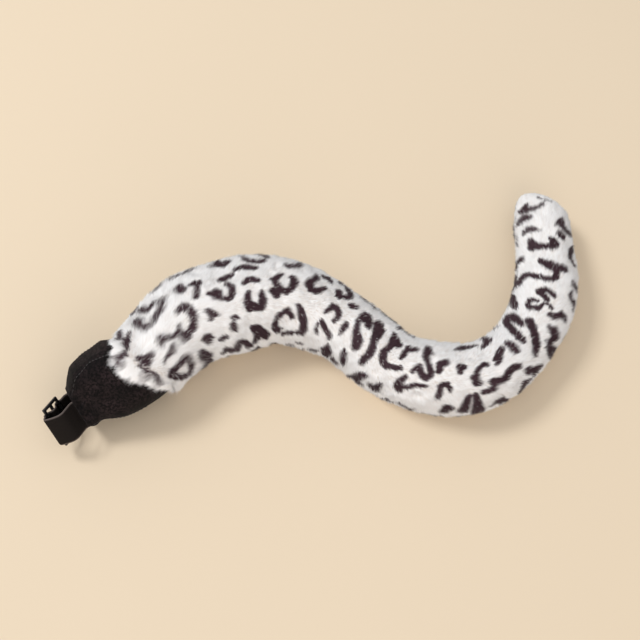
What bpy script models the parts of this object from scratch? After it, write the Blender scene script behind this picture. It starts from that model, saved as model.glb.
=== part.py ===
"""Plush animal tail with a belt loop: a stuffed plush S, the padded black cap that it is sewn to,
a loop of webbing for a belt and a plastic slider on that loop. It lies on its side on the floor,
as it rests by itself. Metres, +Z up, with the origin under the middle of the whole tail."""

import math
from collections import namedtuple

import bmesh
import bpy
from mathutils import Matrix, Vector

# The plush tail
TAIL_LENGTH = 0.584  # along its centreline, from the rim of the fur to the tip
TAIL_DIAMETER = 0.0885  # over the fur, where it is fullest
TIP_ROUND = 0.036  # the length over which the tip closes
TIP_FULLNESS = 0.85  # below 1 the tip is blunter than a ball
SETTLE = 0.93  # height of the centreline above the floor, as a share of the radius
TAIL_SIDES = 32
TIP_RINGS = 7
SEAM_DIP = 0.0015  # groove where the two panels are sewn together, along both edges
SEAM_SPREAD = math.radians(13)  # half of the groove's width, seen from the centreline

# The fur's relief in locks, laid towards the tip
LOCK_LENGTH = 0.021
LOCK_RELIEF = 0.0016
LOCK_EDGE = 0.3  # relief between two locks, as a share of the relief on a lock
LOCK_RINGS = 3  # rings of the loft in each lock
LOCK_STAGGER = 0.618  # how much later the next column of locks starts, as a share of a lock

# The rim of the fur, which stands over the cap
SKIRT_WALL = 0.0050  # backing and fur behind the rim
SKIRT_EDGE = 0.0024  # thickness at the rim itself
SKIRT_DEPTH = 0.014  # how deep the cap's neck sits in the fur
RIM_LAP = 0.018  # the upper side of the rim reaches this much further over the cap
RIM_TUFT = 0.0045  # length of the tufts along the rim
SKIRT_ROOM = 0.0007  # between the cap and the inside of the rim
SKIRT_RINGS = 9  # rings of the loft inside the rim
LAP_FADE = 0.070  # the lap is gone this far up the tail

# The padded cap
CAP_LENGTH = 0.075  # from the rim of the fur to the end that holds the webbing
CAP_WIDTH = 0.073
CAP_THICKNESS = 0.070
CAP_HEADING = math.radians(31)  # the way from the strap end to the tail, seen from above
CAP_RISE = math.radians(6)
CAP_TURN = 0.030  # length over which the cap turns from the tail's heading to its own
CAP_EDGE = 0.0022  # rounding of the closed end
CAP_RINGS = 15

# The loop of webbing
WEBBING_WIDTH = 0.032
WEBBING_THICKNESS = 0.0016
LOOP_REACH = 0.0290  # how far the loop stands out of the cap
LOOP_DEPTH = 0.023  # from the front run to the back run, at the cap
LOOP_HEADING = math.radians(133.5)  # the way a belt goes through the loop, seen from above
LOOP_RISE = math.radians(49)
LOOP_SEAT = 0.0068  # front run to the middle of the cap's thickness
LOOP_SHIFT = 0.0040  # the webbing sits this far below the middle of the cap's width
SLOT_DEPTH = 0.009  # the front run goes this deep into the cap
SEWN_START = 0.0035  # the back run meets the back of the cap this far behind the cap's end
SEWN_LENGTH = 0.018  # and is sewn to it over this length
WEBBING_STEPS = 5  # points of the band between two rows of its table
HUMP_STEPS = 40  # points of the band through the slider
SEWN_STEPS = 4  # points of the band along the back of the cap

# The slider on the back run
SLIDER_LENGTH = 0.020  # along the webbing
SLIDER_BAR = 0.0030  # width of each of its three bars and two end rails
SLIDER_THICKNESS = 0.0024
SLIDER_END_ROOM = 0.003  # between an edge of the webbing and the end rail
SLIDER_PLACE = 0.0112  # from the fold of the webbing to the middle of the slider
SLIDER_BEVEL = 0.0007

CLEARANCE = 0.0003  # between two pieces that touch

# Edges sharper than these are shaded as edges
CLOTH_CREASE = math.radians(35)
WEBBING_CREASE = math.radians(50)
MOULDED_CREASE = math.radians(40)

TailRow = namedtuple("TailRow", "along heading girth")
CapRow = namedtuple("CapRow", "along wide thick square shift")
LoopRow = namedtuple("LoopRow", "reach depth")

# along is a share of the length, heading is in degrees, girth is a share of the diameter
TAIL_ROWS = (
    TailRow(0.00, 52, 0.893),
    TailRow(0.06, 47, 0.940),
    TailRow(0.13, 21, 0.987),
    TailRow(0.20, 13, 0.980),
    TailRow(0.28, -15, 0.887),
    TailRow(0.36, -34, 0.765),
    TailRow(0.43, -42, 0.743),
    TailRow(0.50, -19, 0.748),
    TailRow(0.57, 0, 0.762),
    TailRow(0.63, 30, 0.720),
    TailRow(0.69, 49, 0.666),
    TailRow(0.75, 63, 0.684),
    TailRow(0.80, 77, 0.685),
    TailRow(0.86, 89, 0.655),
    TailRow(0.93, 93, 0.605),
    TailRow(1.00, 95, 0.570),
)

# Shares of the cap's length, width and thickness. square is 2 for an oval and more for a box.
# shift moves a section along its width. The neck, before the first row, is as round as the fur.
CAP_ROWS = (
    CapRow(0.27, 1.00, 0.89, 2.3, 0.095),
    CapRow(0.50, 0.96, 0.71, 2.8, 0.105),
    CapRow(0.66, 0.88, 0.60, 3.2, 0.127),
    CapRow(0.80, 0.78, 0.50, 3.6, 0.135),
    CapRow(0.88, 0.71, 0.43, 4.0, 0.080),
    CapRow(0.95, 0.64, 0.38, 4.0, 0.040),
    CapRow(1.00, 0.62, 0.36, 4.0, 0.020),
)

# Shares of the loop's reach and depth, from the end in the cap's slot to the back run
LOOP_ROWS = (
    LoopRow(-0.10, 0.00),
    LoopRow(0.05, 0.02),
    LoopRow(0.20, 0.16),
    LoopRow(0.41, 0.37),
    LoopRow(0.62, 0.37),
    LoopRow(0.93, 0.17),
    LoopRow(1.00, 0.05),
    LoopRow(0.93, -0.08),
)

WHITE_PLUSH = (0.86, 0.83, 0.81)
BLACK_CLOTH = (0.018, 0.016, 0.017)
BLACK_WEBBING = (0.014, 0.013, 0.013)
BLACK_PLASTIC = (0.010, 0.010, 0.011)

UP = Vector((0, 0, 1))


def direction(heading, rise=0.0):
    level = math.cos(rise)
    return Vector((level * math.cos(heading), level * math.sin(heading), math.sin(rise)))


def smooth(share):
    share = min(1.0, max(0.0, share))
    return share * share * (3 - 2 * share)


def read_table(rows, column, at):
    """The column's value at a place, on a smooth curve through the rows, whose first column is the place."""
    places = [row[0] for row in rows]
    values = [getattr(row, column) for row in rows]
    last = len(rows) - 1
    at = min(places[-1], max(places[0], at))
    index = next((i for i in range(last) if at <= places[i + 1]), last - 1)

    def slope(i):
        low, high = max(0, i - 1), min(last, i + 1)
        return (values[high] - values[low]) / (places[high] - places[low])

    span = places[index + 1] - places[index]
    t = (at - places[index]) / span
    start, end = values[index], values[index + 1]
    leave, arrive = slope(index) * span, slope(index + 1) * span
    return (
        (2 * t**3 - 3 * t**2 + 1) * start
        + (t**3 - 2 * t**2 + t) * leave
        + (3 * t**2 - 2 * t**3) * end
        + (t**3 - t**2) * arrive
    )


def tail_radius(place):
    """Radius over the fur, without the rounding of the tip."""
    return TAIL_DIAMETER / 2 * read_table(TAIL_ROWS, "girth", place / TAIL_LENGTH)


NECK_RADIUS = tail_radius(0) - SKIRT_WALL - SKIRT_ROOM
ROOT_HEADING = math.radians(TAIL_ROWS[0].heading)
LOOP_AXIS = direction(LOOP_HEADING, LOOP_RISE)
NECK_ROW = CapRow(0.0, 2 * NECK_RADIUS / CAP_WIDTH, 2 * NECK_RADIUS / CAP_THICKNESS, 2.0, 0.0)


class Centreline:
    """The line through the tail and the cap. A place is a length from the rim: above 0 on the tail,
    below 0 on the cap."""

    STEP = 0.001

    def __init__(self):
        root = Vector((0, 0, SETTLE * tail_radius(0)))
        self.tail = self.walk(root, TAIL_LENGTH, 1)
        self.cap = self.walk(root, CAP_LENGTH, -1)

    def tangent(self, place):
        """The way towards the tip."""
        if place >= 0:
            return direction(math.radians(read_table(TAIL_ROWS, "heading", place / TAIL_LENGTH)))
        turned = smooth(-place / CAP_TURN)
        return direction(ROOT_HEADING + turned * (CAP_HEADING - ROOT_HEADING), turned * CAP_RISE)

    def walk(self, start, length, way):
        points = [start]
        count = math.ceil(length / self.STEP)
        for i in range(count):
            middle = way * (i + 0.5) / count * length
            points.append(points[-1] + self.tangent(middle) * way * length / count)
        return points

    def point(self, place):
        points, length = (self.tail, TAIL_LENGTH) if place >= 0 else (self.cap, CAP_LENGTH)
        at = min(1.0, abs(place) / length) * (len(points) - 1)
        index = min(int(at), len(points) - 2)
        point = points[index].lerp(points[index + 1], at - index)
        if place > 0:
            # The centreline sinks with the girth, so the plush lies on the floor all along.
            point.z = SETTLE * tail_radius(place)
        return point


LINE = Centreline()


def cross_axes(place):
    """The two directions across the cap at a place: along its width, and towards its front."""
    tangent = LINE.tangent(place)
    wide = (LOOP_AXIS - LOOP_AXIS.dot(tangent) * tangent).normalized()
    return wide, tangent.cross(wide)


def angle_of_width():
    """Angle of the cap's width at the rim, in the round of the tail's sides."""
    wide = cross_axes(0)[0]
    side = UP.cross(LINE.tangent(0))
    return math.atan2(wide.dot(UP), wide.dot(side))


WIDTH_ANGLE = angle_of_width()


def cap_point(place, angle, grow=0.0):
    """A point on the cap's surface, or outside it by grow."""
    if place > 0:
        side = UP.cross(LINE.tangent(0))
        around = math.cos(angle) * side + math.sin(angle) * UP
        centre = LINE.point(0) + place * LINE.tangent(0)
        return centre + (NECK_RADIUS + grow) * around
    rows = (NECK_ROW,) + CAP_ROWS
    share = -place / CAP_LENGTH
    half_wide = CAP_WIDTH / 2 * read_table(rows, "wide", share)
    half_thick = CAP_THICKNESS / 2 * read_table(rows, "thick", share)
    square = read_table(rows, "square", share)
    shift = CAP_WIDTH * read_table(rows, "shift", share)
    wide, front = cross_axes(place)
    turn = angle - WIDTH_ANGLE
    across = abs(math.cos(turn)) / half_wide
    through = abs(math.sin(turn)) / half_thick
    radius = (across**square + through**square) ** (-1 / square) + grow
    around = math.cos(turn) * wide + math.sin(turn) * front
    return LINE.point(place) + shift * wide + radius * around


def lock_relief(ring, column):
    """Height of a lock of fur: each rises towards the tip, and the columns of locks are staggered."""
    late = LOCK_RINGS * (column // 2 * LOCK_STAGGER % 1)
    rise = (ring + late) % LOCK_RINGS / (LOCK_RINGS - 1)
    crest = 1.0 if column % 2 == 0 else LOCK_EDGE
    return LOCK_RELIEF * min(1.0, rise) * crest


def seam_dip(angle):
    """Depth of the groove on the two sides where the panels meet."""
    off = min(abs(math.remainder(angle, math.pi)), math.pi / 2)
    return SEAM_DIP * math.exp(-((off / SEAM_SPREAD) ** 2))


def tail_point(place, angle, radius):
    """A point of the tail's skin, flattened where it would go into the floor."""
    side = UP.cross(LINE.tangent(place))
    point = LINE.point(place) + radius * (math.cos(angle) * side + math.sin(angle) * UP)
    point.z = max(0.0, point.z)
    return point


def rim_lap(angle):
    """How far the rim laps over the cap on its upper side. Its lower side keeps to the straight rim."""
    return RIM_LAP * max(0.0, math.sin(angle))


def rim_place(column, angle):
    """Where the rim ends over the cap, with a tuft on every other column."""
    tuft = RIM_TUFT if column % 2 == 0 else 0.0
    return -rim_lap(angle) - tuft


def tail_ring(ring, place, closing):
    points = []
    for column in range(TAIL_SIDES):
        angle = math.tau * column / TAIL_SIDES
        moved = place - rim_lap(angle) * (1 - smooth(place / LAP_FADE))
        if moved < 0:
            points.append(cap_point(moved, angle, SKIRT_ROOM + SKIRT_WALL))
            continue
        fur = lock_relief(ring, column) * smooth(place / LOCK_LENGTH) - seam_dip(angle)
        points.append(tail_point(moved, angle, (tail_radius(moved) + fur) * closing))
    return points


def skirt_ring(share, grow):
    """A ring on the rim for share 1, and at the depth where the neck ends for share 0."""
    points = []
    for column in range(TAIL_SIDES):
        angle = math.tau * column / TAIL_SIDES
        place = share * rim_place(column, angle) + (1 - share) * SKIRT_DEPTH
        point = cap_point(place, angle, grow)
        point.z = max(0.0, point.z)
        points.append(point)
    return points


def loft(name, rings, start, end):
    """A closed mesh through rings of points, with a point that closes each end."""
    mesh = bmesh.new()
    built = [[mesh.verts.new(point) for point in ring] for ring in rings]
    for ring, following in zip(built, built[1:]):
        for i in range(len(ring)):
            j = (i + 1) % len(ring)
            mesh.faces.new((ring[i], ring[j], following[j], following[i]))
    for ring, tip in ((built[0], start), (built[-1], end)):
        peak = mesh.verts.new(tip)
        for i in range(len(ring)):
            mesh.faces.new((ring[i], ring[(i + 1) % len(ring)], peak))
    bmesh.ops.recalc_face_normals(mesh, faces=mesh.faces)
    return finish_mesh(name, mesh)


def finish_mesh(name, mesh):
    data = bpy.data.meshes.new(name)
    mesh.to_mesh(data)
    mesh.free()
    return data


def material(name, colour, roughness):
    made = bpy.data.materials.new(name)
    made.use_nodes = True
    shader = made.node_tree.nodes["Principled BSDF"]
    shader.inputs["Base Color"].default_value = (*colour, 1)
    shader.inputs["Roughness"].default_value = roughness
    shader.inputs["Metallic"].default_value = 0.0
    made.diffuse_color = (*colour, 1)
    return made


def add_piece(name, data, finish, parent, sharp=None):
    piece = bpy.data.objects.new(name, data)
    bpy.context.scene.collection.objects.link(piece)
    piece.parent = parent
    data.materials.append(finish)
    data.shade_smooth()
    if sharp is not None:
        data.set_sharp_from_angle(angle=sharp)
    return piece


def add_empty(name, parent=None):
    empty = bpy.data.objects.new(name, None)
    bpy.context.scene.collection.objects.link(empty)
    empty.parent = parent
    return empty


def make_tail_body(parent):
    step = LOCK_LENGTH / LOCK_RINGS
    straight = TAIL_LENGTH - TIP_ROUND
    count = math.ceil(straight / step)
    rings = [tail_ring(i, straight * i / count, 1.0) for i in range(1, count + 1)]
    for i in range(1, TIP_RINGS):
        turn = math.pi / 2 * i / TIP_RINGS
        closing = math.cos(turn) ** TIP_FULLNESS
        rings.append(tail_ring(count + i, straight + TIP_ROUND * math.sin(turn), closing))
    inner = [skirt_ring(i / SKIRT_RINGS, SKIRT_ROOM) for i in range(SKIRT_RINGS + 1)]
    edge = [skirt_ring(1.0, SKIRT_ROOM + SKIRT_EDGE)]
    floor_of_skirt = LINE.point(0) + SKIRT_DEPTH * LINE.tangent(0)
    data = loft("tail_body", inner + edge + rings, floor_of_skirt, LINE.point(TAIL_LENGTH))
    return add_piece("tail_body", data, material("white plush", WHITE_PLUSH, 0.9), parent)


def cap_ring(place, grow=0.0):
    return [cap_point(place, math.tau * i / TAIL_SIDES, grow) for i in range(TAIL_SIDES)]


def make_root_cap(parent, slot):
    neck_end = SKIRT_DEPTH - CLEARANCE
    rings = [cap_ring(neck_end), cap_ring(neck_end / 2), cap_ring(0.0)]
    straight = CAP_LENGTH - CAP_EDGE
    rings += [cap_ring(-straight * i / CAP_RINGS) for i in range(1, CAP_RINGS + 1)]
    rings.append(cap_ring(-CAP_LENGTH, -CAP_EDGE))
    start = LINE.point(0) + neck_end * LINE.tangent(0)
    data = loft("root_cap", rings, start, end_centre())
    cap = add_piece("root_cap", data, material("black cloth", BLACK_CLOTH, 0.85), parent, CLOTH_CREASE)
    cut = cap.modifiers.new("slot for the webbing", "BOOLEAN")
    cut.operation = "DIFFERENCE"
    cut.object = slot
    return cap


def end_centre():
    """Middle of the end of the cap that holds the webbing."""
    shift = CAP_WIDTH * CAP_ROWS[-1].shift
    return LINE.point(-CAP_LENGTH) + shift * cross_axes(-CAP_LENGTH)[0]


def loop_matrix():
    """Frame of the loop: X out of the cap, Y towards the front, Z along the way of the belt."""
    wide, front = cross_axes(-CAP_LENGTH)
    out = front.cross(wide)
    centre = end_centre() + LOOP_SEAT * front - LOOP_SHIFT * wide
    matrix = Matrix((out, front, wide)).transposed().to_4x4()
    matrix.translation = centre
    return matrix


def through_rows(rows, steps):
    """Points on a smooth curve through the rows of the loop's table, in the loop's frame."""
    points = [Vector((LOOP_REACH * row.reach, LOOP_DEPTH * row.depth)) for row in rows]
    ends = [2 * points[0] - points[1]] + points + [2 * points[-1] - points[-2]]
    curve = []
    for before, start, end, after in zip(ends, ends[1:], ends[2:], ends[3:]):
        for i in range(steps):
            t = i / steps
            leave, arrive = (end - before) / 2, (after - start) / 2
            curve.append(
                (2 * t**3 - 3 * t**2 + 1) * start
                + (t**3 - 2 * t**2 + t) * leave
                + (3 * t**2 - 2 * t**3) * end
                + (t**3 - t**2) * arrive
            )
    return curve + [points[-1]]


def back_of_cap(out):
    """Depth of the webbing that lies on the back of the cap, at a distance out of the cap's end."""
    surface = cap_point(-CAP_LENGTH - out, WIDTH_ANGLE - math.pi / 2)
    inside = loop_matrix().inverted() @ surface
    return inside.y - CLEARANCE - WEBBING_THICKNESS / 2


def back_run():
    """Start and end of the straight back run, from the fold to the back of the cap."""
    fold = LOOP_ROWS[-1]
    start = Vector((LOOP_REACH * fold.reach, LOOP_DEPTH * fold.depth))
    end = Vector((0, -LOOP_DEPTH))
    return start, end


def slider_hump(distance):
    """Height of the webbing over the slider's own plane: behind the outer bars, over the middle bar."""
    clear = SLIDER_THICKNESS / 2 + CLEARANCE + WEBBING_THICKNESS / 2
    inner = SLIDER_BAR / 2
    outer = SLIDER_LENGTH / 2 - SLIDER_BAR
    passed = smooth((abs(distance) - inner) / (outer - inner))
    away = smooth((abs(distance) - SLIDER_LENGTH / 2) / SLIDER_BAR)
    return clear * (1 - 2 * passed) + clear * away


def webbing_line():
    """The middle line of the webbing, in the loop's frame."""
    slot_end = Vector((-SLOT_DEPTH + CLEARANCE, 0))
    line = [slot_end] + through_rows(LOOP_ROWS, WEBBING_STEPS)
    start, end = back_run()
    way = (end - start).normalized()
    outward = Vector((-way.y, way.x)) * (1 if way.x > 0 else -1)
    length = (end - start).length
    half = SLIDER_LENGTH / 2 + SLIDER_BAR
    first, last = SLIDER_PLACE - half, SLIDER_PLACE + half
    for i in range(1, HUMP_STEPS + 1):
        at = first + (last - first) * i / HUMP_STEPS
        if at > 0:
            line.append(start + at * way + slider_hump(at - SLIDER_PLACE) * outward)
    line.append(start + (last + length) / 2 * way)
    for i in range(SEWN_STEPS + 1):
        out = -SEWN_START - SEWN_LENGTH * i / SEWN_STEPS
        line.append(Vector((out, back_of_cap(out))))
    return line


def band(name, line, width, thickness):
    """A flat band along a line in the XY plane, as wide as Z goes."""
    mesh = bmesh.new()
    rings = []
    for i, point in enumerate(line):
        before, after = line[max(0, i - 1)], line[min(len(line) - 1, i + 1)]
        way = (after - before).normalized()
        normal = Vector((-way.y, way.x)) * thickness / 2
        corners = (
            (point + normal, width / 2),
            (point - normal, width / 2),
            (point - normal, -width / 2),
            (point + normal, -width / 2),
        )
        rings.append([mesh.verts.new((flat.x, flat.y, z)) for flat, z in corners])
    for ring, following in zip(rings, rings[1:]):
        for i in range(4):
            j = (i + 1) % 4
            mesh.faces.new((ring[i], ring[j], following[j], following[i]))
    mesh.faces.new(rings[0])
    mesh.faces.new(rings[-1])
    bmesh.ops.recalc_face_normals(mesh, faces=mesh.faces)
    return finish_mesh(name, mesh)


def make_belt_loop(loop_frame):
    data = band("belt_loop", webbing_line(), WEBBING_WIDTH, WEBBING_THICKNESS)
    finish = material("black webbing", BLACK_WEBBING, 0.75)
    return add_piece("belt_loop", data, finish, loop_frame, WEBBING_CREASE)


def box(name, size):
    mesh = bmesh.new()
    bmesh.ops.create_cube(mesh, size=1.0)
    bmesh.ops.scale(mesh, vec=size, verts=mesh.verts)
    return finish_mesh(name, mesh)


def make_cutter(name, size, parent, location):
    cutter = bpy.data.objects.new(name, box(name, size))
    bpy.context.scene.collection.objects.link(cutter)
    cutter.parent = parent
    cutter.location = location
    cutter.hide_render = True
    cutter.display_type = "WIRE"
    return cutter


def make_slot(loop_frame):
    """The cutter of the slot in the cap's end that takes the front run."""
    reach = 2 * SLOT_DEPTH
    size = (reach, WEBBING_THICKNESS + 2 * CLEARANCE, WEBBING_WIDTH + 2 * CLEARANCE)
    return make_cutter("slot_cutter", size, loop_frame, (-SLOT_DEPTH + reach / 2, 0, 0))


def make_slider(loop_frame):
    """A frame of three bars and two end rails, made flat and laid on the back run."""
    slot_length = WEBBING_WIDTH + 2 * SLIDER_END_ROOM
    size = (SLIDER_LENGTH, SLIDER_THICKNESS, slot_length + 2 * SLIDER_BAR)
    start, end = back_run()
    way = (end - start).normalized()
    seat = add_empty("slider_frame", loop_frame)
    middle = start + SLIDER_PLACE * way
    seat.location = (middle.x, middle.y, 0)
    seat.rotation_euler = (0, 0, math.atan2(way.y, way.x))
    slider = add_piece(
        "tri_glide",
        box("tri_glide", size),
        material("black acetal", BLACK_PLASTIC, 0.35),
        seat,
        MOULDED_CREASE,
    )
    slot_width = (SLIDER_LENGTH - 3 * SLIDER_BAR) / 2
    for side in (-1, 1):
        centre = side * (SLIDER_BAR / 2 + slot_width / 2)
        cutter_size = (slot_width, 3 * SLIDER_THICKNESS, slot_length)
        cutter = make_cutter(f"slider_slot_{side}", cutter_size, seat, (centre, 0, 0))
        cut = slider.modifiers.new(f"slot {side}", "BOOLEAN")
        cut.operation = "DIFFERENCE"
        cut.object = cutter
    round_edges = slider.modifiers.new("rounded edges", "BEVEL")
    round_edges.width = SLIDER_BEVEL
    round_edges.segments = 2
    round_edges.limit_method = "ANGLE"
    return slider


def centre_on_floor(frame, pieces):
    """Moves the whole tail so that the origin lies under the middle of its box."""
    bpy.context.view_layer.update()
    graph = bpy.context.evaluated_depsgraph_get()
    corners = []
    for piece in pieces:
        shown = piece.evaluated_get(graph)
        corners += [shown.matrix_world @ vertex.co for vertex in shown.data.vertices]
    for axis in (0, 1):
        values = [corner[axis] for corner in corners]
        frame.location[axis] = -(min(values) + max(values)) / 2


def main():
    for old in list(bpy.data.objects):
        bpy.data.objects.remove(old)
    frame = add_empty("tail_frame")
    loop_frame = add_empty("loop_frame", frame)
    loop_frame.matrix_local = loop_matrix()
    slot = make_slot(loop_frame)
    pieces = [
        make_tail_body(frame),
        make_root_cap(frame, slot),
        make_belt_loop(loop_frame),
        make_slider(loop_frame),
    ]
    centre_on_floor(frame, pieces)


main()
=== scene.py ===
"""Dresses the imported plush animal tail: printed pile fabric, padded black cloth, ribbed webbing and a
moulded slider. Metres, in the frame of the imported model."""

import math
from collections import namedtuple

import bmesh
import bpy
import numpy as np
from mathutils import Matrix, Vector


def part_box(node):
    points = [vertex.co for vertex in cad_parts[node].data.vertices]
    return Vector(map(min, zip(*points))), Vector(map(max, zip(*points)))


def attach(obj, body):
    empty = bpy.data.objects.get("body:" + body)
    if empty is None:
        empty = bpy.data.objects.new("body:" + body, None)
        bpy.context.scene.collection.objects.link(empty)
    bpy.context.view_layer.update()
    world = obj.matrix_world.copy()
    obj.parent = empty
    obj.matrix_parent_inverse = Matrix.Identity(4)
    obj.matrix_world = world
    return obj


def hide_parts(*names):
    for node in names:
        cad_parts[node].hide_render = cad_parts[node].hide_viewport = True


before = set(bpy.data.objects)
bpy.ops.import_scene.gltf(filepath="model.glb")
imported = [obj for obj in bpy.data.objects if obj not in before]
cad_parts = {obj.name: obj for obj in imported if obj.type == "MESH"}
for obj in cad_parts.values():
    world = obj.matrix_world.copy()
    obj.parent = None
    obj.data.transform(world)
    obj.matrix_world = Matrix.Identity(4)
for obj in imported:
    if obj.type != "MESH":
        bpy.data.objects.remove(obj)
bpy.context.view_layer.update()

bl_info = {
    "name": "Plush animal tail",
    "version": (1, 0, 0),
    "blender": (4, 5, 0),
    "location": "3D View > Sidebar > Plush Tail",
    "description": "Fur, padded cap, belt loop and slider of a stuffed costume tail",
    "category": "Object",
}

ROOT = "root"

# Sizes and tables of the solids, as the part's source has them
TAIL_LENGTH = 0.584  # along the middle line, from the rim of the fur to the tip
TAIL_DIAMETER = 0.0885
TAIL_CORNER = (-0.03524, -0.04702)  # lowest corner of the tail in the frame of the tables
TIP_ROUND = 0.036  # the tail closes over this length at its tip
TIP_FULLNESS = 0.85
SETTLE = 0.93  # the middle line lies this share of the radius above the floor
SEAM_DIP = 0.0015
SEAM_SPREAD = math.radians(13)
SKIRT_WALL = 0.0050  # fur that laps over the cap
SKIRT_ROOM = 0.0007
SKIRT_DEPTH = 0.014  # the neck of the cap reaches this far into the fur
RIM_LAP = 0.018
LAP_FADE = 0.070
CAP_LENGTH = 0.075
CAP_WIDTH = 0.073
CAP_THICKNESS = 0.070
CAP_HEADING = math.radians(31)
CAP_RISE = math.radians(6)
CAP_TURN = 0.030
CAP_EDGE = 0.0022
LOOP_HEADING = math.radians(133.5)
LOOP_RISE = math.radians(49)
LOOP_REACH = 0.0290
LOOP_DEPTH = 0.023
LOOP_SEAT = 0.0068
LOOP_SHIFT = 0.0040
SLOT_DEPTH = 0.009
SEWN_START = 0.0035
SEWN_LENGTH = 0.018
WEBBING_WIDTH = 0.032
WEBBING_THICKNESS = 0.0016
SLIDER_LENGTH = 0.020
SLIDER_BAR = 0.0030
SLIDER_THICKNESS = 0.0024
SLIDER_PLACE = 0.0112
CLEARANCE = 0.0003

TailRow = namedtuple("TailRow", "along heading girth")
CapRow = namedtuple("CapRow", "along wide thick square shift")
LoopRow = namedtuple("LoopRow", "reach depth")

TAIL_ROWS = (
    TailRow(0.00, 52, 0.893), TailRow(0.06, 47, 0.940), TailRow(0.13, 21, 0.987),
    TailRow(0.20, 13, 0.980), TailRow(0.28, -15, 0.887), TailRow(0.36, -34, 0.765),
    TailRow(0.43, -42, 0.743), TailRow(0.50, -19, 0.748), TailRow(0.57, 0, 0.762),
    TailRow(0.63, 30, 0.720), TailRow(0.69, 49, 0.666), TailRow(0.75, 63, 0.684),
    TailRow(0.80, 77, 0.685), TailRow(0.86, 89, 0.655), TailRow(0.93, 93, 0.605),
    TailRow(1.00, 95, 0.570),
)
CAP_ROWS = (
    CapRow(0.27, 1.00, 0.89, 2.3, 0.095), CapRow(0.50, 0.96, 0.71, 2.8, 0.105),
    CapRow(0.66, 0.88, 0.60, 3.2, 0.127), CapRow(0.80, 0.78, 0.50, 3.6, 0.135),
    CapRow(0.88, 0.71, 0.43, 4.0, 0.080), CapRow(0.95, 0.64, 0.38, 4.0, 0.040),
    CapRow(1.00, 0.62, 0.36, 4.0, 0.020),
)
LOOP_ROWS = (
    LoopRow(-0.10, 0.00), LoopRow(0.05, 0.02), LoopRow(0.20, 0.16), LoopRow(0.41, 0.37),
    LoopRow(0.62, 0.37), LoopRow(0.93, 0.17), LoopRow(1.00, 0.05), LoopRow(0.93, -0.08),
)

# What the fur and the cloth have beyond the solids
TIP_LEAN = np.array((-0.0060, -0.0028, 0.0))  # the fur's end leans this far to the inside of its bend
TIP_LEANING = 0.038  # over this length
UPPER_EDGE = 0.35  # the angle of the edge that is uppermost in the photo


def smooth(share):
    share = np.clip(share, 0.0, 1.0)
    return share * share * (3 - 2 * share)


def bump(distance, spread):
    return np.exp(-((distance / spread) ** 2))


def unit(vectors):
    return vectors / np.maximum(1e-12, np.linalg.norm(vectors, axis=-1, keepdims=True))


def turned_from(middle, angle):
    """How far the angle is turned from the middle one, from minus half a turn to half a turn."""
    return np.remainder(angle - middle + math.pi, math.tau) - math.pi


def hermite(start, end, leaving, arriving, t):
    """A smooth curve from start to end that leaves and arrives with the slopes given."""
    return (
        (2 * t**3 - 3 * t**2 + 1) * start + (t**3 - 2 * t**2 + t) * leaving
        + (3 * t**2 - 2 * t**3) * end + (t**3 - t**2) * arriving
    )


def read_table(rows, column, at):
    """The column's values at places, on a smooth curve through the rows, whose first column is the place."""
    places = np.array([row[0] for row in rows])
    values = np.array([getattr(row, column) for row in rows])
    low = np.maximum(0, np.arange(len(rows)) - 1)
    high = np.minimum(len(rows) - 1, np.arange(len(rows)) + 1)
    slopes = (values[high] - values[low]) / (places[high] - places[low])
    at = np.clip(at, places[0], places[-1])
    index = np.clip(np.searchsorted(places, at, side="left") - 1, 0, len(rows) - 2)
    span = places[index + 1] - places[index]
    t = (at - places[index]) / span
    return hermite(values[index], values[index + 1], slopes[index] * span, slopes[index + 1] * span, t)


def level_way(heading, rise=0.0):
    """The way of a heading on the floor, tipped up by rise."""
    level = np.cos(rise)
    up = np.sin(rise) * np.ones_like(heading)
    return np.stack((level * np.cos(heading), level * np.sin(heading), up), -1)


def tail_radius(place):
    return TAIL_DIAMETER / 2 * read_table(TAIL_ROWS, "girth", np.asarray(place) / TAIL_LENGTH)


NECK_RADIUS = float(tail_radius(0.0)) - SKIRT_WALL - SKIRT_ROOM
NECK_ROW = CapRow(0.0, 2 * NECK_RADIUS / CAP_WIDTH, 2 * NECK_RADIUS / CAP_THICKNESS, 2.0, 0.0)
ROOT_HEADING = math.radians(TAIL_ROWS[0].heading)
LOOP_AXIS = level_way(LOOP_HEADING, LOOP_RISE)
UP = np.array((0.0, 0.0, 1.0))


def tangent(place):
    """The way towards the tip, above 0 on the tail and below 0 on the cap."""
    place = np.asarray(place, float)
    on_tail = level_way(np.radians(read_table(TAIL_ROWS, "heading", place / TAIL_LENGTH)))
    turned = smooth(-place / CAP_TURN)
    on_cap = level_way(ROOT_HEADING + turned * (CAP_HEADING - ROOT_HEADING), turned * CAP_RISE)
    return np.where(place[..., None] >= 0, on_tail, on_cap)


def walk(length, way, step=0.001):
    """Places, and the points at them, from the rim towards the tip or back along the cap."""
    count = math.ceil(length / step)
    middles = way * (np.arange(count) + 0.5) / count * length
    moves = tangent(middles) * way * length / count
    start = np.array((0.0, 0.0, SETTLE * float(tail_radius(0.0))))
    return np.linspace(0, way * length, count + 1), np.vstack((start, start + np.cumsum(moves, 0)))


TAIL_WALK = walk(TAIL_LENGTH, 1)
CAP_WALK = walk(CAP_LENGTH, -1)
WALK_PLACES = np.concatenate((CAP_WALK[0][:0:-1], TAIL_WALK[0]))
WALK_POINTS = np.vstack((CAP_WALK[1][:0:-1], TAIL_WALK[1]))


def centre(place):
    place = np.asarray(place, float)
    point = np.stack([np.interp(place, WALK_PLACES, WALK_POINTS[:, i]) for i in range(3)], -1)
    point[..., 2] = np.where(place > 0, SETTLE * tail_radius(place), point[..., 2])
    return point


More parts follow.
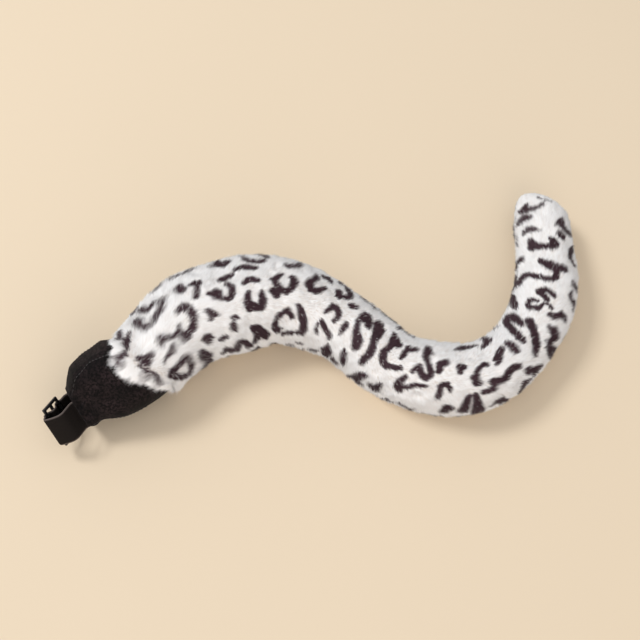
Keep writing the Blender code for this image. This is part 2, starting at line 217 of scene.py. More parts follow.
def cross_axes(place):
    """The two directions across the cap: along its width, and towards its front."""
    along = tangent(place)
    wide = unit(LOOP_AXIS - (along @ LOOP_AXIS)[..., None] * along)
    return wide, np.cross(along, wide)


def side_way(place):
    return np.cross(UP, tangent(place))


def angle_of_width():
    wide = cross_axes(np.array(0.0))[0]
    return math.atan2(wide[2], wide @ side_way(np.array(0.0)))


WIDTH_ANGLE = angle_of_width()


def cap_point(place, angle, grow=0.0):
    """Points on the cap's surface, or outside it by grow."""
    place, angle = np.broadcast_arrays(np.asarray(place, float), angle)
    rows = (NECK_ROW,) + CAP_ROWS
    share = -place / CAP_LENGTH
    half_wide = CAP_WIDTH / 2 * read_table(rows, "wide", share)
    half_thick = CAP_THICKNESS / 2 * read_table(rows, "thick", share)
    square = read_table(rows, "square", share)
    shift = CAP_WIDTH * read_table(rows, "shift", share)
    wide, front = cross_axes(np.minimum(place, 0.0))
    turn = angle - WIDTH_ANGLE
    across = np.abs(np.cos(turn)) / half_wide
    through = np.abs(np.sin(turn)) / half_thick
    radius = (across**square + through**square) ** (-1 / square) + grow
    around = np.cos(turn)[..., None] * wide + np.sin(turn)[..., None] * front
    middle = centre(np.minimum(place, 0.0))
    middle = middle + np.maximum(place, 0.0)[..., None] * tangent(np.zeros_like(place))
    return middle + shift[..., None] * wide + radius[..., None] * around


def tip_closing(place):
    """How far the round tip has closed, from 1 down to 0."""
    turn = np.arcsin(np.clip((place - (TAIL_LENGTH - TIP_ROUND)) / TIP_ROUND, 0.0, 1.0))
    return np.maximum(0.0, np.cos(turn)) ** TIP_FULLNESS


def tip_lean(place):
    return smooth((place - TAIL_LENGTH + TIP_LEANING) / TIP_LEANING)[..., None] * TIP_LEAN


def lapped(place, angle):
    """The place on the middle line for a place of the fur, which laps over the cap at the top."""
    lap = RIM_LAP * np.maximum(0.0, np.sin(angle))
    return place - lap * (1 - smooth(place / LAP_FADE))


def fur_point(place, angle):
    """Points of the fur's outer form, where the rim laps over the cap."""
    place, angle = np.broadcast_arrays(np.asarray(place, float), np.asarray(angle, float))
    moved = lapped(place, angle)
    from_seam = np.abs(np.remainder(angle + math.pi / 2, math.pi) - math.pi / 2)
    radius = (tail_radius(moved) - SEAM_DIP * bump(from_seam, SEAM_SPREAD)) * tip_closing(moved)
    around = np.cos(angle)[..., None] * side_way(moved) + np.sin(angle)[..., None] * UP
    on_tail = centre(moved) + np.maximum(0.0, radius)[..., None] * around
    on_tail[..., 2] = np.maximum(0.0, on_tail[..., 2])
    on_cap = cap_point(np.minimum(moved, 0.0), angle, SKIRT_ROOM + SKIRT_WALL)
    return np.where((moved < 0)[..., None], on_cap, on_tail)


# Spots of the printed pile, charted as strokes: each point is (mm from the rim, degrees, width in mm).
# 0 degrees is the outer seam, 90 the top and 180 the seam on the near side.
SPOTS = (
    ((13.5, 38, 3.8), (10, 57, 5.8)), ((20, 61, 2.5), (16, 63, 5.4), (11.5, 72, 5.9), (9.5, 81, 2.9)),
    ((5.5, 86, 4.2), (5, 91, 3.2)), ((-4, 87, 2.8), (-2, 90, 5.4), (-3.5, 96, 5.2), (-5, 104, 3.2)),
    ((2.5, 90, 2.1), (-0.5, 91, 2.8)), ((31, 31, 4.8), (33, 24, 6.2), (36, 25, 3.9)),
    ((36.5, 41, 5.8), (38, 52, 6.7), (40.5, 60, 5.2), (44, 60, 4.6), (47, 60, 3.3)),
    ((52, 64, 3.8), (49, 70, 5.1), (46, 77, 5.1), (42, 78, 5), (39, 78, 5.2)),
    ((29, 58, 8), (30, 64, 9.1), (29.5, 72, 4.9), (30.5, 78, 4.6), (33.5, 80, 3.1), (36, 82, 1.5)),
    ((52.5, 94, 3.3), (55.5, 92, 5.3), (58, 93, 5.7), (60, 98, 7), (61, 105, 7.3), (59.5, 112, 6.4),
     (55.5, 120, 5.5), (50.5, 124, 5.1), (45, 126, 5.1), (41, 126, 3.7)),
    ((46, 109, 2.3), (43, 115, 5), (42.5, 123, 4.6)),
    ((30, 101, 2.8), (32.5, 103, 4.4), (34, 108, 4.1), (36.5, 113, 3.6), (39, 114, 1.8)),
    ((30.5, 104, 3.7), (28.5, 110, 2.3)),
    ((32.5, 121, 2.8), (30.5, 126, 3.9), (26, 126, 2.3), (22, 126, 2.3), (19, 128, 1.4)),
    ((10, 102, 3.2), (11, 106, 6.2), (12.5, 111, 9)), ((14, 108, 7.2), (18, 108, 4.2)),
    ((11, 114, 5.2), (9.5, 118, 3.8)), ((5.5, 114, 3.0), (4.5, 124, 3.2)),
    ((6, 123, 3.6), (5, 130, 4.8), (3, 142, 5.2), (-1, 152, 6.0)), ((2, 124, 3.6), (-2, 134, 4.6)),
    ((31.5, 148, 6.6), (26, 148, 6.3), (21, 147, 6.5), (16, 148, 7.6), (11.5, 150, 6.1), (12.5, 162, 6.2),
     (13.5, 178, 6.2), (19, 184, 6.8), (24.5, 173, 5.4), (29, 157, 5)),
    ((44.5, 158, 5.6), (45.5, 172, 9.3), (48, 188, 6.8), (48, 200, 7.8), (41, 200, 6.9)),
    ((53.5, 32, 9.7), (56, 29, 9.8)),
    ((64.5, 36, 6.8), (68, 36, 7.8), (71.5, 38, 9.7), (75.5, 34, 6.8), (79, 36, 4.9)),
    ((63, 64, 7.7), (63.5, 70, 8.1)), ((70.5, 68, 3), (73.5, 68, 5.8), (76.5, 70, 7.1), (78.5, 73, 4.6)),
    ((75.5, 73, 5.7), (73.5, 82, 5.2), (70.5, 89, 4.4)), ((90.5, 48, 2.8), (95, 44, 3.9), (99, 36, 5.9)),
    ((100, 46, 9.7), (102.5, 48, 12.7), (106, 44, 9.7)),
    ((95, 77, 4.4), (99.5, 76, 5.8), (104.5, 74, 5.5), (108, 72, 3.5)),
    ((110.5, 66, 3.8), (114, 64, 5.6), (119, 63, 6.4), (123.5, 64, 6.3), (129, 66, 3.6)),
    ((120, 34, 3.9), (122.5, 49, 6.5), (126.5, 52, 6.5), (130.5, 54, 6.2), (134.5, 50, 7.4)),
    ((132, 29, 5.9), (134.5, 29, 8.9), (137.5, 39, 6.9)),
    ((115.5, 89, 3.5), (120, 85, 5.7), (124.5, 85, 7), (129, 87, 4.1)),
    ((81.5, 90, 3.4), (85, 92, 5.8), (89.5, 93, 8.2), (91, 95, 7.7)),
    ((86.5, 97, 5.7), (92, 102, 4.6), (96.5, 104, 4.2), (100.5, 104, 4.6), (103.5, 98, 5.7), (104, 92, 6.4),
     (101.5, 86, 5.1), (99, 86, 3)),
    ((119, 102, 3.8), (116.5, 108, 6), (115, 115, 7.4), (115.5, 122, 6), (121.5, 123, 7), (129, 123, 7.5),
     (132, 115, 7.4), (131.5, 108, 6.1), (131, 103, 3.8)),
    ((118.5, 115, 4.6), (122, 120, 5.6)),
    ((150, 75, 3.1), (146.5, 80, 5.3), (143, 86, 6.1), (147, 92, 5.9), (151.5, 98, 6.5), (156, 100, 5.7),
     (159.5, 94, 5.8), (162, 84, 8), (159.5, 77, 7.6), (157, 76, 3.9)),
    ((143, 101, 6.6), (147, 106, 7.5)),
    ((152, 56, 5.2), (154.5, 56, 6.8), (157, 53, 5.6), (159.5, 50, 6.5), (161.5, 38, 4.9)),
    ((162.5, 122, 3.3), (157.5, 128, 4.5), (152, 134, 4.9), (147.5, 140, 4.5), (146.5, 148, 5.1),
     (147, 154, 6.9), (150.5, 159, 6.2), (156.5, 154, 2.9)),
    ((171, 113, 3.7), (174.5, 117, 5.7), (177.5, 124, 6.8), (181.5, 133, 7.6), (183.5, 142, 7.4),
     (182.5, 152, 6.7), (176.5, 157, 5), (169, 158, 5.1), (161, 164, 4.9), (158.5, 168, 3.3)),
    ((159.5, 126, 4.2), (165, 128, 4.9), (167.5, 133, 4.8)),
    ((75.5, 112, 5.5), (77.5, 117, 7.3), (82.5, 119, 4.6), (85, 121, 2.3)),
    ((76.5, 121, 4.6), (75, 123, 2.8)), ((96.5, 128, 2.8), (100.5, 128, 3.7), (102.5, 130, 2.4)),
    ((98, 132, 2.9), (96, 139, 6.4), (96.5, 145, 5.1)), ((57.5, 144, 3.6), (64, 142, 6), (61, 150, 4.9)),
    ((64, 144, 4.1), (69.5, 146, 2.6)), ((77.5, 153, 3.3), (81.5, 152, 4.9), (86.5, 152, 3.8)),
    ((115.5, 149, 5.9), (118.5, 152, 9.7), (123, 159, 11.7), (129.5, 168, 10.6), (130.5, 177, 5.6)),
    ((119.5, 169, 9.8), (114.5, 180, 5.5)),
    ((78, 182, 7.1), (82, 173, 7.6), (85.5, 176, 6.5), (89, 188, 5.5)),
    ((93, 186, 8), (96.5, 171, 7.8), (99.5, 166, 6.5), (103.5, 170, 6.3), (106.5, 182, 6.8),
     (108.5, 190, 4.8)),
    ((164.5, 200, 4), (171, 199, 4)), ((177.5, 184, 3.9), (182.5, 182, 5)),
    ((177, 55, 6.2), (176.5, 66, 6.1), (174, 72, 6.8), (174, 78, 8.3), (178, 82, 7.4), (182, 82, 6),
     (185.5, 76, 5.2), (187, 68, 4.7)),
    ((181.5, 43, 6.9), (184, 40, 9.4), (188, 49, 4.1)),
    ((193, 26, 5.9), (197, 27, 5.5), (201, 34, 7.5), (205, 43, 9), (208, 54, 5.8)),
    ((198, 58, 6.7), (200, 66, 6.9)), ((202.5, 62, 3.8), (206, 60, 4.9), (208, 54, 5.1)),
    ((212.5, 68, 4.6), (216, 67, 6.5), (218.5, 63, 3.5)),
    ((198.5, 104, 3.2), (200, 96, 4.5), (202.5, 88, 5.9), (206, 87, 5.7), (209, 92, 5.6), (211, 100, 4.9),
     (210, 109, 4.2)),
    ((221, 100, 3.6), (221.5, 106, 5.8), (221.5, 114, 4.5), (221.5, 122, 1.9)),
    ((197, 126, 1.9), (197, 135, 2.6), (200, 142, 3.1)),
    ((199, 119, 3.7), (203, 125, 5.5), (208, 130, 5), (212.5, 134, 5.7), (213, 140, 3.1)),
    ((216, 154, 5.3), (216.5, 163, 10.2), (213.5, 186, 7.5)), ((209, 168, 3.5), (214, 162, 4.3)),
    ((225.5, 171, 3.5), (226, 184, 7.8), (229.5, 180, 7.8)),
    ((235, 142, 4.8), (237, 152, 7.7), (238.5, 162, 7.7)),
    ((193, 194, 3.9), (199, 190, 5.9), (204, 185, 3.6)),
    ((228, 65, 6), (231, 70, 10.2), (235, 74, 8.2), (238, 80, 6.4)),
    ((228.5, 74, 7.6), (228, 84, 5), (230.5, 94, 5.8), (233.5, 101, 6.4), (236.5, 107, 8.4),
     (240, 112, 10.3), (241.5, 120, 8.6), (241.5, 127, 3.9)),
    ((243, 64, 9), (246.5, 70, 11.3), (249, 80, 9.3), (251, 92, 7.5), (253.5, 102, 7.3), (255.5, 111, 7.4),
     (256, 121, 7.4), (255, 130, 6.9), (255, 138, 5.2)),
    ((213, 24, 3.9), (217, 28, 4.9), (220.5, 30, 2.9)), ((224.5, 30, 4.9), (228, 34, 4.9)),
    ((233.5, 24, 5.9), (237.5, 24, 7.8), (241, 24, 6.9), (245.5, 24, 5.9), (248.5, 24, 6.8)),
    ((257, 40, 2.9), (260.5, 24, 4.9), (267.5, 25, 5.8), (277.5, 33, 4.8)),
    ((260, 58, 3.3), (264, 66, 7.2), (267.5, 72, 11.2), (271, 74, 8.7)),
    ((266.5, 83, 6.1), (266, 91, 5.8), (265, 100, 6.7), (266.5, 108, 7.2), (269, 114, 7.2), (272.5, 118, 6),
     (276.5, 115, 5.5), (280.5, 114, 4.8), (283.5, 111, 5.3)),
    ((281.5, 70, 4.5), (282.5, 76, 5.3), (281.5, 87, 5.7), (280.5, 94, 3.3)),
    ((285, 76, 4), (291, 69, 4.6)),
    ((301.5, 58, 6.1), (302, 70, 8.2), (302, 78, 6.5), (304.5, 86, 4.9), (307.5, 96, 5.1), (310, 104, 5.7),
     (309, 111, 5.9), (306, 114, 5.9), (302, 110, 5.9), (300, 102, 6.4), (298.5, 96, 4.2)),
    ((296.5, 102, 5.5), (294, 109, 3.5)), ((305.5, 68, 2.3), (308.5, 72, 2.2)),
    ((317, 88, 8.3), (321.5, 85, 7.4)), ((316.5, 94, 6.8), (316.5, 100, 5.3)),
    ((335, 92, 7.6), (338, 90, 5.8)), ((335, 93, 6.7), (334.5, 98, 5.4)),
    ((290, 122, 4.6), (287.5, 132, 7.2), (286.5, 141, 8.3), (288.5, 147, 6.9)),
    ((290.5, 142, 5.6), (294.5, 136, 4.4), (299, 130, 4.5), (303.5, 129, 4.7), (308, 128, 3.7)),
    ((318.5, 143, 5.6), (319.5, 133, 5.7), (319, 125, 5.5), (321.5, 121, 4.6), (325, 121, 5),
     (326.5, 126, 4.7), (327, 132, 2.9)),
    ((325, 178, 9.6), (326.5, 166, 9.9), (329, 167, 7.6)),
    ((341, 142, 5.2), (339.5, 150, 7.2), (338.5, 162, 9), (337.5, 178, 11.5)),
    ((345.5, 141, 5.7), (346, 151, 8.1), (346.5, 164, 10.3), (347.5, 188, 13.5)),
    ((348.5, 176, 7.7), (351, 186, 5.8)),
    ((247, 200, 4.9), (253, 187, 7.8), (258.5, 164, 9.1), (262.5, 153, 6)),
    ((256, 192, 9.8), (260, 190, 6.8)),
    ((268.5, 168, 5.5), (271, 176, 11.6), (273.5, 163, 7.4), (275, 154, 4.1)),
    ((277.5, 200, 2.9), (282, 192, 2.9), (286, 194, 2.9)),
    ((290, 186, 3.6), (294, 188, 5.5), (298.5, 194, 8.7), (301.5, 188, 4.6)),
    ((329.5, 57, 2.1), (335.5, 52, 3.8), (343, 45, 7.8), (352, 46, 6.8), (360.5, 48, 3.4)),
    ((376.5, 34, 6.8), (377.5, 46, 8.3), (373, 54, 5.7), (365.5, 58, 2.7)),
    ((359.5, 93, 4.9), (355.5, 92, 4.7), (351, 96, 5), (348.5, 102, 4.9), (348, 110, 5.6)),
    ((345.5, 110, 6), (347.5, 117, 8.9), (350, 120, 4.7)),
    ((381.5, 80, 5.4), (376, 86, 8.1), (371.5, 92, 8), (368, 99, 4.9)),
    ((390.5, 78, 6), (390.5, 86, 8.6), (390.5, 96, 8.3), (391, 101, 5)),
    ((384, 125, 5.8), (379, 120, 6.4), (375, 121, 7.3), (371, 126, 8), (367.5, 128, 6.1), (363, 124, 5.8),
     (360.5, 122, 4.9), (357.5, 123, 4.4)),
    ((360.5, 130, 7.3), (358.5, 136, 6.8), (354.5, 138, 5.8), (350.5, 138, 4.6)),
    ((356, 182, 4.8), (358.5, 174, 7.7), (361.5, 168, 8.6), (365, 189, 6.8), (369, 197, 4.9)),
    ((397, 20, 2.9), (405, 26, 2.9)),
    ((419, 34, 9.3), (419, 46, 9.4), (419, 56, 8), (417.5, 66, 6.7), (416, 73, 5.2)),
    ((417, 34, 8.6), (412, 40, 6.2), (408, 54, 6), (405.5, 68, 6.6), (404, 80, 6.7), (403.5, 90, 7),
     (403, 96, 5)),
    ((422, 81, 6.5), (421.5, 86, 8.6), (418.5, 94, 8.5), (415, 104, 8), (411.5, 112, 8.5), (408, 121, 8.5),
     (404, 126, 7.6), (401.5, 132, 4.5)),
    ((429, 118, 3.1), (427.5, 126, 6.6), (428, 135, 11), (426.5, 144, 10), (422.5, 140, 7.5)),
    ((418.5, 136, 7.1), (416.5, 144, 8.1), (416, 158, 11.7), (421.5, 192, 11.8)),
    ((422.5, 192, 7.9), (425, 192, 5.9)), ((442, 190, 3.6), (437, 190, 5.5), (431, 192, 3.6)),
    ((438, 110, 4.6), (439, 118, 6.4), (441.5, 125, 5.7), (445, 132, 6.5), (444, 141, 6.9),
     (443.5, 147, 4.6)),
    ((446, 78, 3.1), (446, 70, 3.4), (443.5, 64, 4.9), (438.5, 64, 5.3), (435.5, 72, 5.2), (438, 79, 4.1),
     (439, 86, 5.5), (443, 90, 4)),
    ((445.5, 92, 2), (446, 100, 2.5), (445, 109, 3.6)),
    ((456.5, 74, 5.2), (457.5, 78, 5.6), (459.5, 85, 4.9), (458.5, 94, 4.9), (456.5, 105, 4.7)),
    ((455.5, 76, 5.2), (454, 84, 5.6), (451.5, 92, 5.2), (450.5, 98, 3.5)),
    ((479.5, 103, 7.1), (476.5, 104, 6), (472.5, 98, 4.2), (471.5, 88, 5.4), (471.5, 78, 5),
     (473.5, 66, 5.4), (475.5, 54, 4.9), (476, 43, 5.9), (474.5, 33, 9), (471, 27, 12.1), (466, 32, 7)),
    ((473.5, -2, 11.1), (465, 12, 11.6)),
    ((467, -10, 5.6), (459.5, -10, 7), (441.5, 26, 8.9), (434.5, 39, 7.3), (430.5, 46, 2.6)),
    ((437.5, 15, 4), (441, 18, 5.9)),
    ((492.5, 68, 4.6), (489.5, 76, 6.6), (487.5, 86, 8.5), (485, 98, 9.5), (485.5, 108, 8),
     (485.5, 119, 7.5)),
    ((483.5, 100, 7.6), (479.5, 102, 7.1)),
    ((517.5, 50, 6), (511.5, 53, 10.6), (510, 59, 9.1), (508.5, 69, 6.3), (508, 80, 5.4), (508, 92, 7.7),
     (510.5, 100, 10), (513.5, 100, 8), (516, 94, 5)),
    ((515, 160, 4), (507, 140, 6.6), (500.5, 134, 6.1), (497, 142, 6), (495.5, 154, 4)),
    ((500.5, 30, 4.5), (499.5, 20, 6.4), (500, 0, 7.7), (499, -14, 6.5)),
    ((528.5, 36, 4.8), (531, 44, 6.1), (530, 56, 5.8), (528, 66, 4.2), (527, 76, 1.6)),
    ((543.5, 18, 5.1), (544.5, 30, 6.6), (545, 44, 6.5), (543.5, 58, 4.6)),
    ((555.5, 33, 6.3), (554.5, 44, 8.5), (553, 55, 6.7), (552.5, 66, 5.8), (554, 76, 5.4), (557, 90, 3.7)),
    ((558.5, 46, 6.3), (561.5, 55, 3.7)), ((551.5, -16, 4.1), (546.5, -16, 7.2)),
    ((540, 128, 4.6), (535.5, 121, 7.2), (533, 112, 4.4)),
    ((533, 122, 6.7), (529.5, 130, 7.7), (528, 144, 7.7), (528, 159, 4.1)),
    ((522.5, 116, 8.1), (520.5, 122, 8.1), (517.5, 126, 3.7)), ((569, 92, 3.9), (566, 98, 3.1)),
    ((562, 102, 2.9), (561, 113, 3.3)), ((475.5, 137, 4.6), (474.5, 146, 7.4), (473.5, 156, 6)),
    ((467.5, 140, 3.9), (463.5, 139, 5.2), (461.5, 145, 5), (460, 156, 7.9), (456.5, 158, 4.9)),
    ((388, 139, 4.8), (389.5, 144, 8.9), (393, 150, 5.9), (396.5, 160, 11.5), (400.5, 164, 8.7)),
    ((387.5, 168, 7.7), (383, 163, 8.7), (381.5, 178, 10.1), (381, 196, 7.8)),
)


def to_frame(points):
    """Points of the tables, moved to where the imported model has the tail."""
    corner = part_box("tail_body")[0]
    return points + np.array((corner.x - TAIL_CORNER[0], corner.y - TAIL_CORNER[1], 0.0))


# Making meshes

def new_object(name, data):
    made = bpy.data.objects.new(name, data)
    bpy.context.scene.collection.objects.link(made)
    return made


def mesh_from(name, points, faces):
    """A mesh from an array of points and arrays of faces that each have the same number of corners."""
    data = bpy.data.meshes.new(name)
    corners = np.concatenate([part.ravel() for part in faces]).astype(np.int32)
    sizes = np.concatenate([np.full(len(part), part.shape[1]) for part in faces]).astype(np.int32)
    data.vertices.add(len(points))
    data.vertices.foreach_set("co", np.ascontiguousarray(points, np.float32).ravel())
    data.loops.add(len(corners))
    data.loops.foreach_set("vertex_index", corners)
    data.polygons.add(len(sizes))
    data.polygons.foreach_set("loop_start", np.concatenate(([0], np.cumsum(sizes)[:-1])).astype(np.int32))
    data.polygons.foreach_set("loop_total", sizes)
    data.update(calc_edges=True)
    data.polygons.foreach_set("use_smooth", np.full(len(sizes), True))
    return data


def add_attribute(data, name, values):
    data.attributes.new(name, "FLOAT", "POINT").data.foreach_set(
        "value", np.ascontiguousarray(values, np.float32).ravel()
    )


def add_uv(data, uv):
    """Flat places in millimetres, so that a pattern has its real scale."""
    layer = data.uv_layers.new(name="cloth")
    index = np.empty(len(data.loops), np.int32)
    data.loops.foreach_get("vertex_index", index)
    layer.data.foreach_set("uv", np.ascontiguousarray(uv[index], np.float32).ravel())


def grid_faces(rows, columns):
    """Quads between rows of points that go round."""
    i, j = np.meshgrid(np.arange(rows - 1), np.arange(columns), indexing="ij")
    k = (j + 1) % columns
    quads = np.stack((i * columns + j, i * columns + k, (i + 1) * columns + k, (i + 1) * columns + j), -1)
    return quads.reshape(-1, 4)


def fan_faces(start, columns, middle, flip=False):
    j = np.arange(columns)
    fan = np.stack((start + (j + 1) % columns, start + j, np.full(columns, middle)), -1)
    return fan[:, ::-1] if flip else fan


def closed_mesh(name, rings, first, last):
    """A mesh of rings of points, closed at each end by a fan to one more point."""
    count, columns = rings.shape[:2]
    points = np.vstack((rings.reshape(-1, 3), first[None], last[None]))
    fans = np.vstack((
        fan_faces(0, columns, len(points) - 2),
        fan_faces((count - 1) * columns, columns, len(points) - 1, flip=True),
    ))
    return mesh_from(name, to_frame(points), [grid_faces(count, columns), fans])


def noise_slopes(rng, u, v, wrap):
    """Smooth random values, -1 to 1, a unit apart, and their rise along u and along v, which goes round."""
    table = rng.uniform(-1, 1, (int(np.max(u)) + 3, wrap))
    i, j = np.floor(u).astype(int), np.floor(v).astype(int)
    s, t = u - i, v - j
    i = np.clip(i, 0, len(table) - 2)
    j, k = j % wrap, (j + 1) % wrap
    a, b, c, d = table[i, j], table[i, k], table[i + 1, j], table[i + 1, k]
    low, high = a + (b - a) * smooth(t), c + (d - c) * smooth(t)
    along_v = ((b - a) * (1 - smooth(s)) + (d - c) * smooth(s)) * 6 * t * (1 - t)
    return low + (high - low) * smooth(s), (high - low) * 6 * s * (1 - s), along_v


def layered_noise(rng, run, around, layers):
    """A sum of random values. Each layer has a height, the length of its cells and their number round."""
    total = 0.0
    for height, cell, columns in layers:
        total = total + height * noise_slopes(rng, run / cell, around * columns, columns)[0]
    return total


# The print

class PrintChart:
    """The spots of both panels, worked out once on a fine net over the tail."""

    PLACE_STEP = 0.0005
    ANGLE_COUNT = 480
    SOFT = 0.0005  # the ink fades over this much at its edge
    ROUGHNESS = ((0.0004, 0.0035, 96), (0.0004, 0.0028, 260))  # layers of the ink's uneven edge
    BLEED = 0.00045  # the ink spreads this far past the charted edge
    ROOT_BLEED = 0.0008  # and this much further in the looser pile near the root
    START = -0.014  # the pile of the front of the rim reaches this far over the cap
    REACH = 0.016  # a stroke is drawn on the net to this far from its ends
    ANGLE_REACH = 0.40
    BACK_EDGE = -0.34  # the back panel's spots start where the sine of the angle is below this
    SIDE_EDGE = 0.22  # and those of the side that the photo doesn't show, below this

    def __init__(self, rng):
        self.places = np.arange(self.START, TAIL_LENGTH + self.PLACE_STEP, self.PLACE_STEP)
        angles = np.arange(self.ANGLE_COUNT) * math.tau / self.ANGLE_COUNT
        place, angle = np.meshgrid(self.places, angles, indexing="ij")
        self.net = fur_point(place, angle)
        run, around = place - self.START, angle / math.tau
        self.rough = layered_noise(rng, run, around, self.ROUGHNESS)
        self.dark = np.zeros_like(place)
        front = np.ones_like(place, bool)
        back = np.sin(angle) < self.BACK_EDGE
        side = ~back & (np.sin(angle) < self.SIDE_EDGE) & (np.cos(angle) > 0)
        for number, stroke in enumerate(SPOTS):
            line = []
            for along, turn, width in stroke:
                bleed = self.BLEED + self.ROOT_BLEED * (1 - smooth((along - 35) / 50))
                line.append((along / 1000, math.radians(turn), width / 2000 + bleed))
            self.draw(line, front)
            turned = [(TAIL_LENGTH - along, turn, half) for along, turn, half in line]
            self.draw([(along, turn + math.pi, half) for along, turn, half in turned], back)
            if number % 2:
                self.draw([(along, turn - math.pi / 2, half) for along, turn, half in turned], side)

    def column(self, angle):
        return angle / math.tau * self.ANGLE_COUNT

    def draw(self, line, allowed):
        """Inks a line of points (place, angle, half its width) where the panel allows it."""
        for (start, turn, half), (end, to_turn, to_half) in zip(line, line[1:]):
            a = fur_point(start, turn)
            b = fur_point(end, to_turn)
            low = np.searchsorted(self.places, min(start, end) - self.REACH)
            high = np.searchsorted(self.places, max(start, end) + self.REACH)
            first = math.floor(self.column(min(turn, to_turn) - self.ANGLE_REACH))
            last = math.ceil(self.column(max(turn, to_turn) + self.ANGLE_REACH))
            spot = np.ix_(np.arange(low, high), np.arange(first, last) % self.ANGLE_COUNT)
            away = self.net[spot] - a
            way = b - a
            share = np.clip(away @ way / max(1e-12, way @ way), 0.0, 1.0)
            distance = np.linalg.norm(away - share[..., None] * way, axis=-1) + self.rough[spot]
            wide = half + (to_half - half) * share
            dark = smooth((wide - distance) / (2 * self.SOFT) + 0.5) * allowed[spot]
            self.dark[spot] = np.maximum(self.dark[spot], dark)

    def at(self, place, angle):
        """How dark the print is, from 0 to 1, between the points of the net."""
        u = np.clip((place - self.START) / self.PLACE_STEP, 0, len(self.places) - 1.001)
        v = np.remainder(self.column(angle), self.ANGLE_COUNT)
        i, j = u.astype(int), v.astype(int)
        s, t = u - i, v - j
        j, k = j % self.ANGLE_COUNT, (j + 1) % self.ANGLE_COUNT
        return (
            (self.dark[i, j] * (1 - t) + self.dark[i, k] * t) * (1 - s)
            + (self.dark[i + 1, j] * (1 - t) + self.dark[i + 1, k] * t) * s
        )


# The pile

RimRow = namedtuple("RimRow", "angle edge")
# Where the fur ends over the cap, round the rim: degrees, and mm from the solid's rim towards the tip
RIM_ROWS = (
    RimRow(0, 6.0), RimRow(30, 5.5), RimRow(50, 4.5), RimRow(73, 0.0), RimRow(87, -3.5), RimRow(98, -5.0),
    RimRow(111, -7.5), RimRow(123, -6.0), RimRow(136, -4.5), RimRow(150, -5.0), RimRow(170, -5.5),
    RimRow(195, 1.5), RimRow(230, 4.0), RimRow(300, 6.0),
)
RIM_OVERHANG = 0.0050  # the backing ends this far short of the fur's edge
RIM_DEPTH = 0.0030  # the fur over the backing at the rim
MORE_DEPTH = 0.0012  # and this much more further on
STAND_OUT = 0.0012  # the strands end this far outside the fur's form
TIP_SHORTER = 0.5  # the strands lose this share of their length at the tip
UPPER_SHORTER = 0.35  # and this much at the rim's upper edge
UPPER_SPREAD = 0.7
LAID_BACK = 1.66  # a strand at the rim leans this far back over the cap
LEAN = 0.52  # the others lean this far to the tip
RISING = 0.017  # the lean changes over this length
ROOT_PILE = 0.13  # the pile is looser and longer on this length
WAVES = ((0.0034, 0.0004), (0.0075, 0.0006), (0.022, 0.0010))  # the cells and heights of locks and waves
WAVE = 0.0008  # a rise that counts as one whole lock
SWIRLS = ((0.25, 0.018, 12), (0.30, 0.0065, 36))  # layers of the strands' turn to the side
SWIRL_SPREAD = 0.22
LEAN_SPREAD = 0.17
RAGGED = ((1.0, 0.004, 64), (0.7, 0.004, 150))  # layers of the rim's uneven length
TONES = ((0.35, 0.0045, 90),)  # the layer of lighter and darker locks
LENGTHS = (0.78, 1.15)  # a strand has a share of its length and of its width in these ranges
WIDTHS = (0.8, 1.2)
TIP_PILE = 0.004  # the fur over the backing at the tip
PRESSED = 0.0004  # fur pressed flat on the floor ends at this height or up to PRESSED_DEPTH more
PRESSED_DEPTH = 0.0008
BLUR = 0.00015  # the ink strays this far from strand to strand
ROOT_BLUR = 0.0003  # and this much further near the root
PALE_INK = 0.25  # a few strands take only this share of the ink
GIRTH = 0.22  # round the tail, to work out how many cells there are
STRAYS = 0.025  # the share of strands that stand out further
STRAY_LENGTH = 1.22
# Where a strand's root and its tip take their ink, as shares of its length
INKED_AT = (0.35, 0.85)
RATIO = 1.32471795724474602596  # spreads points evenly over an area
TURNED_IN = 0.03  # the rim is turned in over this length
UNDERSIDE = -0.55  # the pile is thinner where the sine of the angle is below this
UNDERSIDE_SHARE = 0.30
THINNER = 0.35  # this share of the strands is left out beyond the root


def fur_normal(place, angle):
    """Outward direction of the fur's form, and the way along it towards the tip."""
    step = 0.0004
    turn = 0.01
    along = fur_point(place + step, angle) - fur_point(place - step, angle)
    around = fur_point(place, angle + turn) - fur_point(place, angle - turn)
    normal = unit(np.cross(along, around))
    outward = fur_point(place, angle) - centre(place)
    normal = np.where((np.sum(normal * outward, -1) < 0)[..., None], -normal, normal)
    along = unit(along - np.sum(along * normal, -1, keepdims=True) * normal)
    return normal, along


def rim_back(angle):
    """The place where the backing ends."""
    turns = [math.radians(row.angle) for row in RIM_ROWS]
    edges = [row.edge / 1000 for row in RIM_ROWS]
    return np.interp(np.remainder(angle, math.tau), turns, edges, period=math.tau) + RIM_OVERHANG


def pile_depth(from_rim):
    """Thickness of the fur over the backing, thinner where the rim is turned in."""
    return RIM_DEPTH + MORE_DEPTH * smooth(from_rim / TURNED_IN)


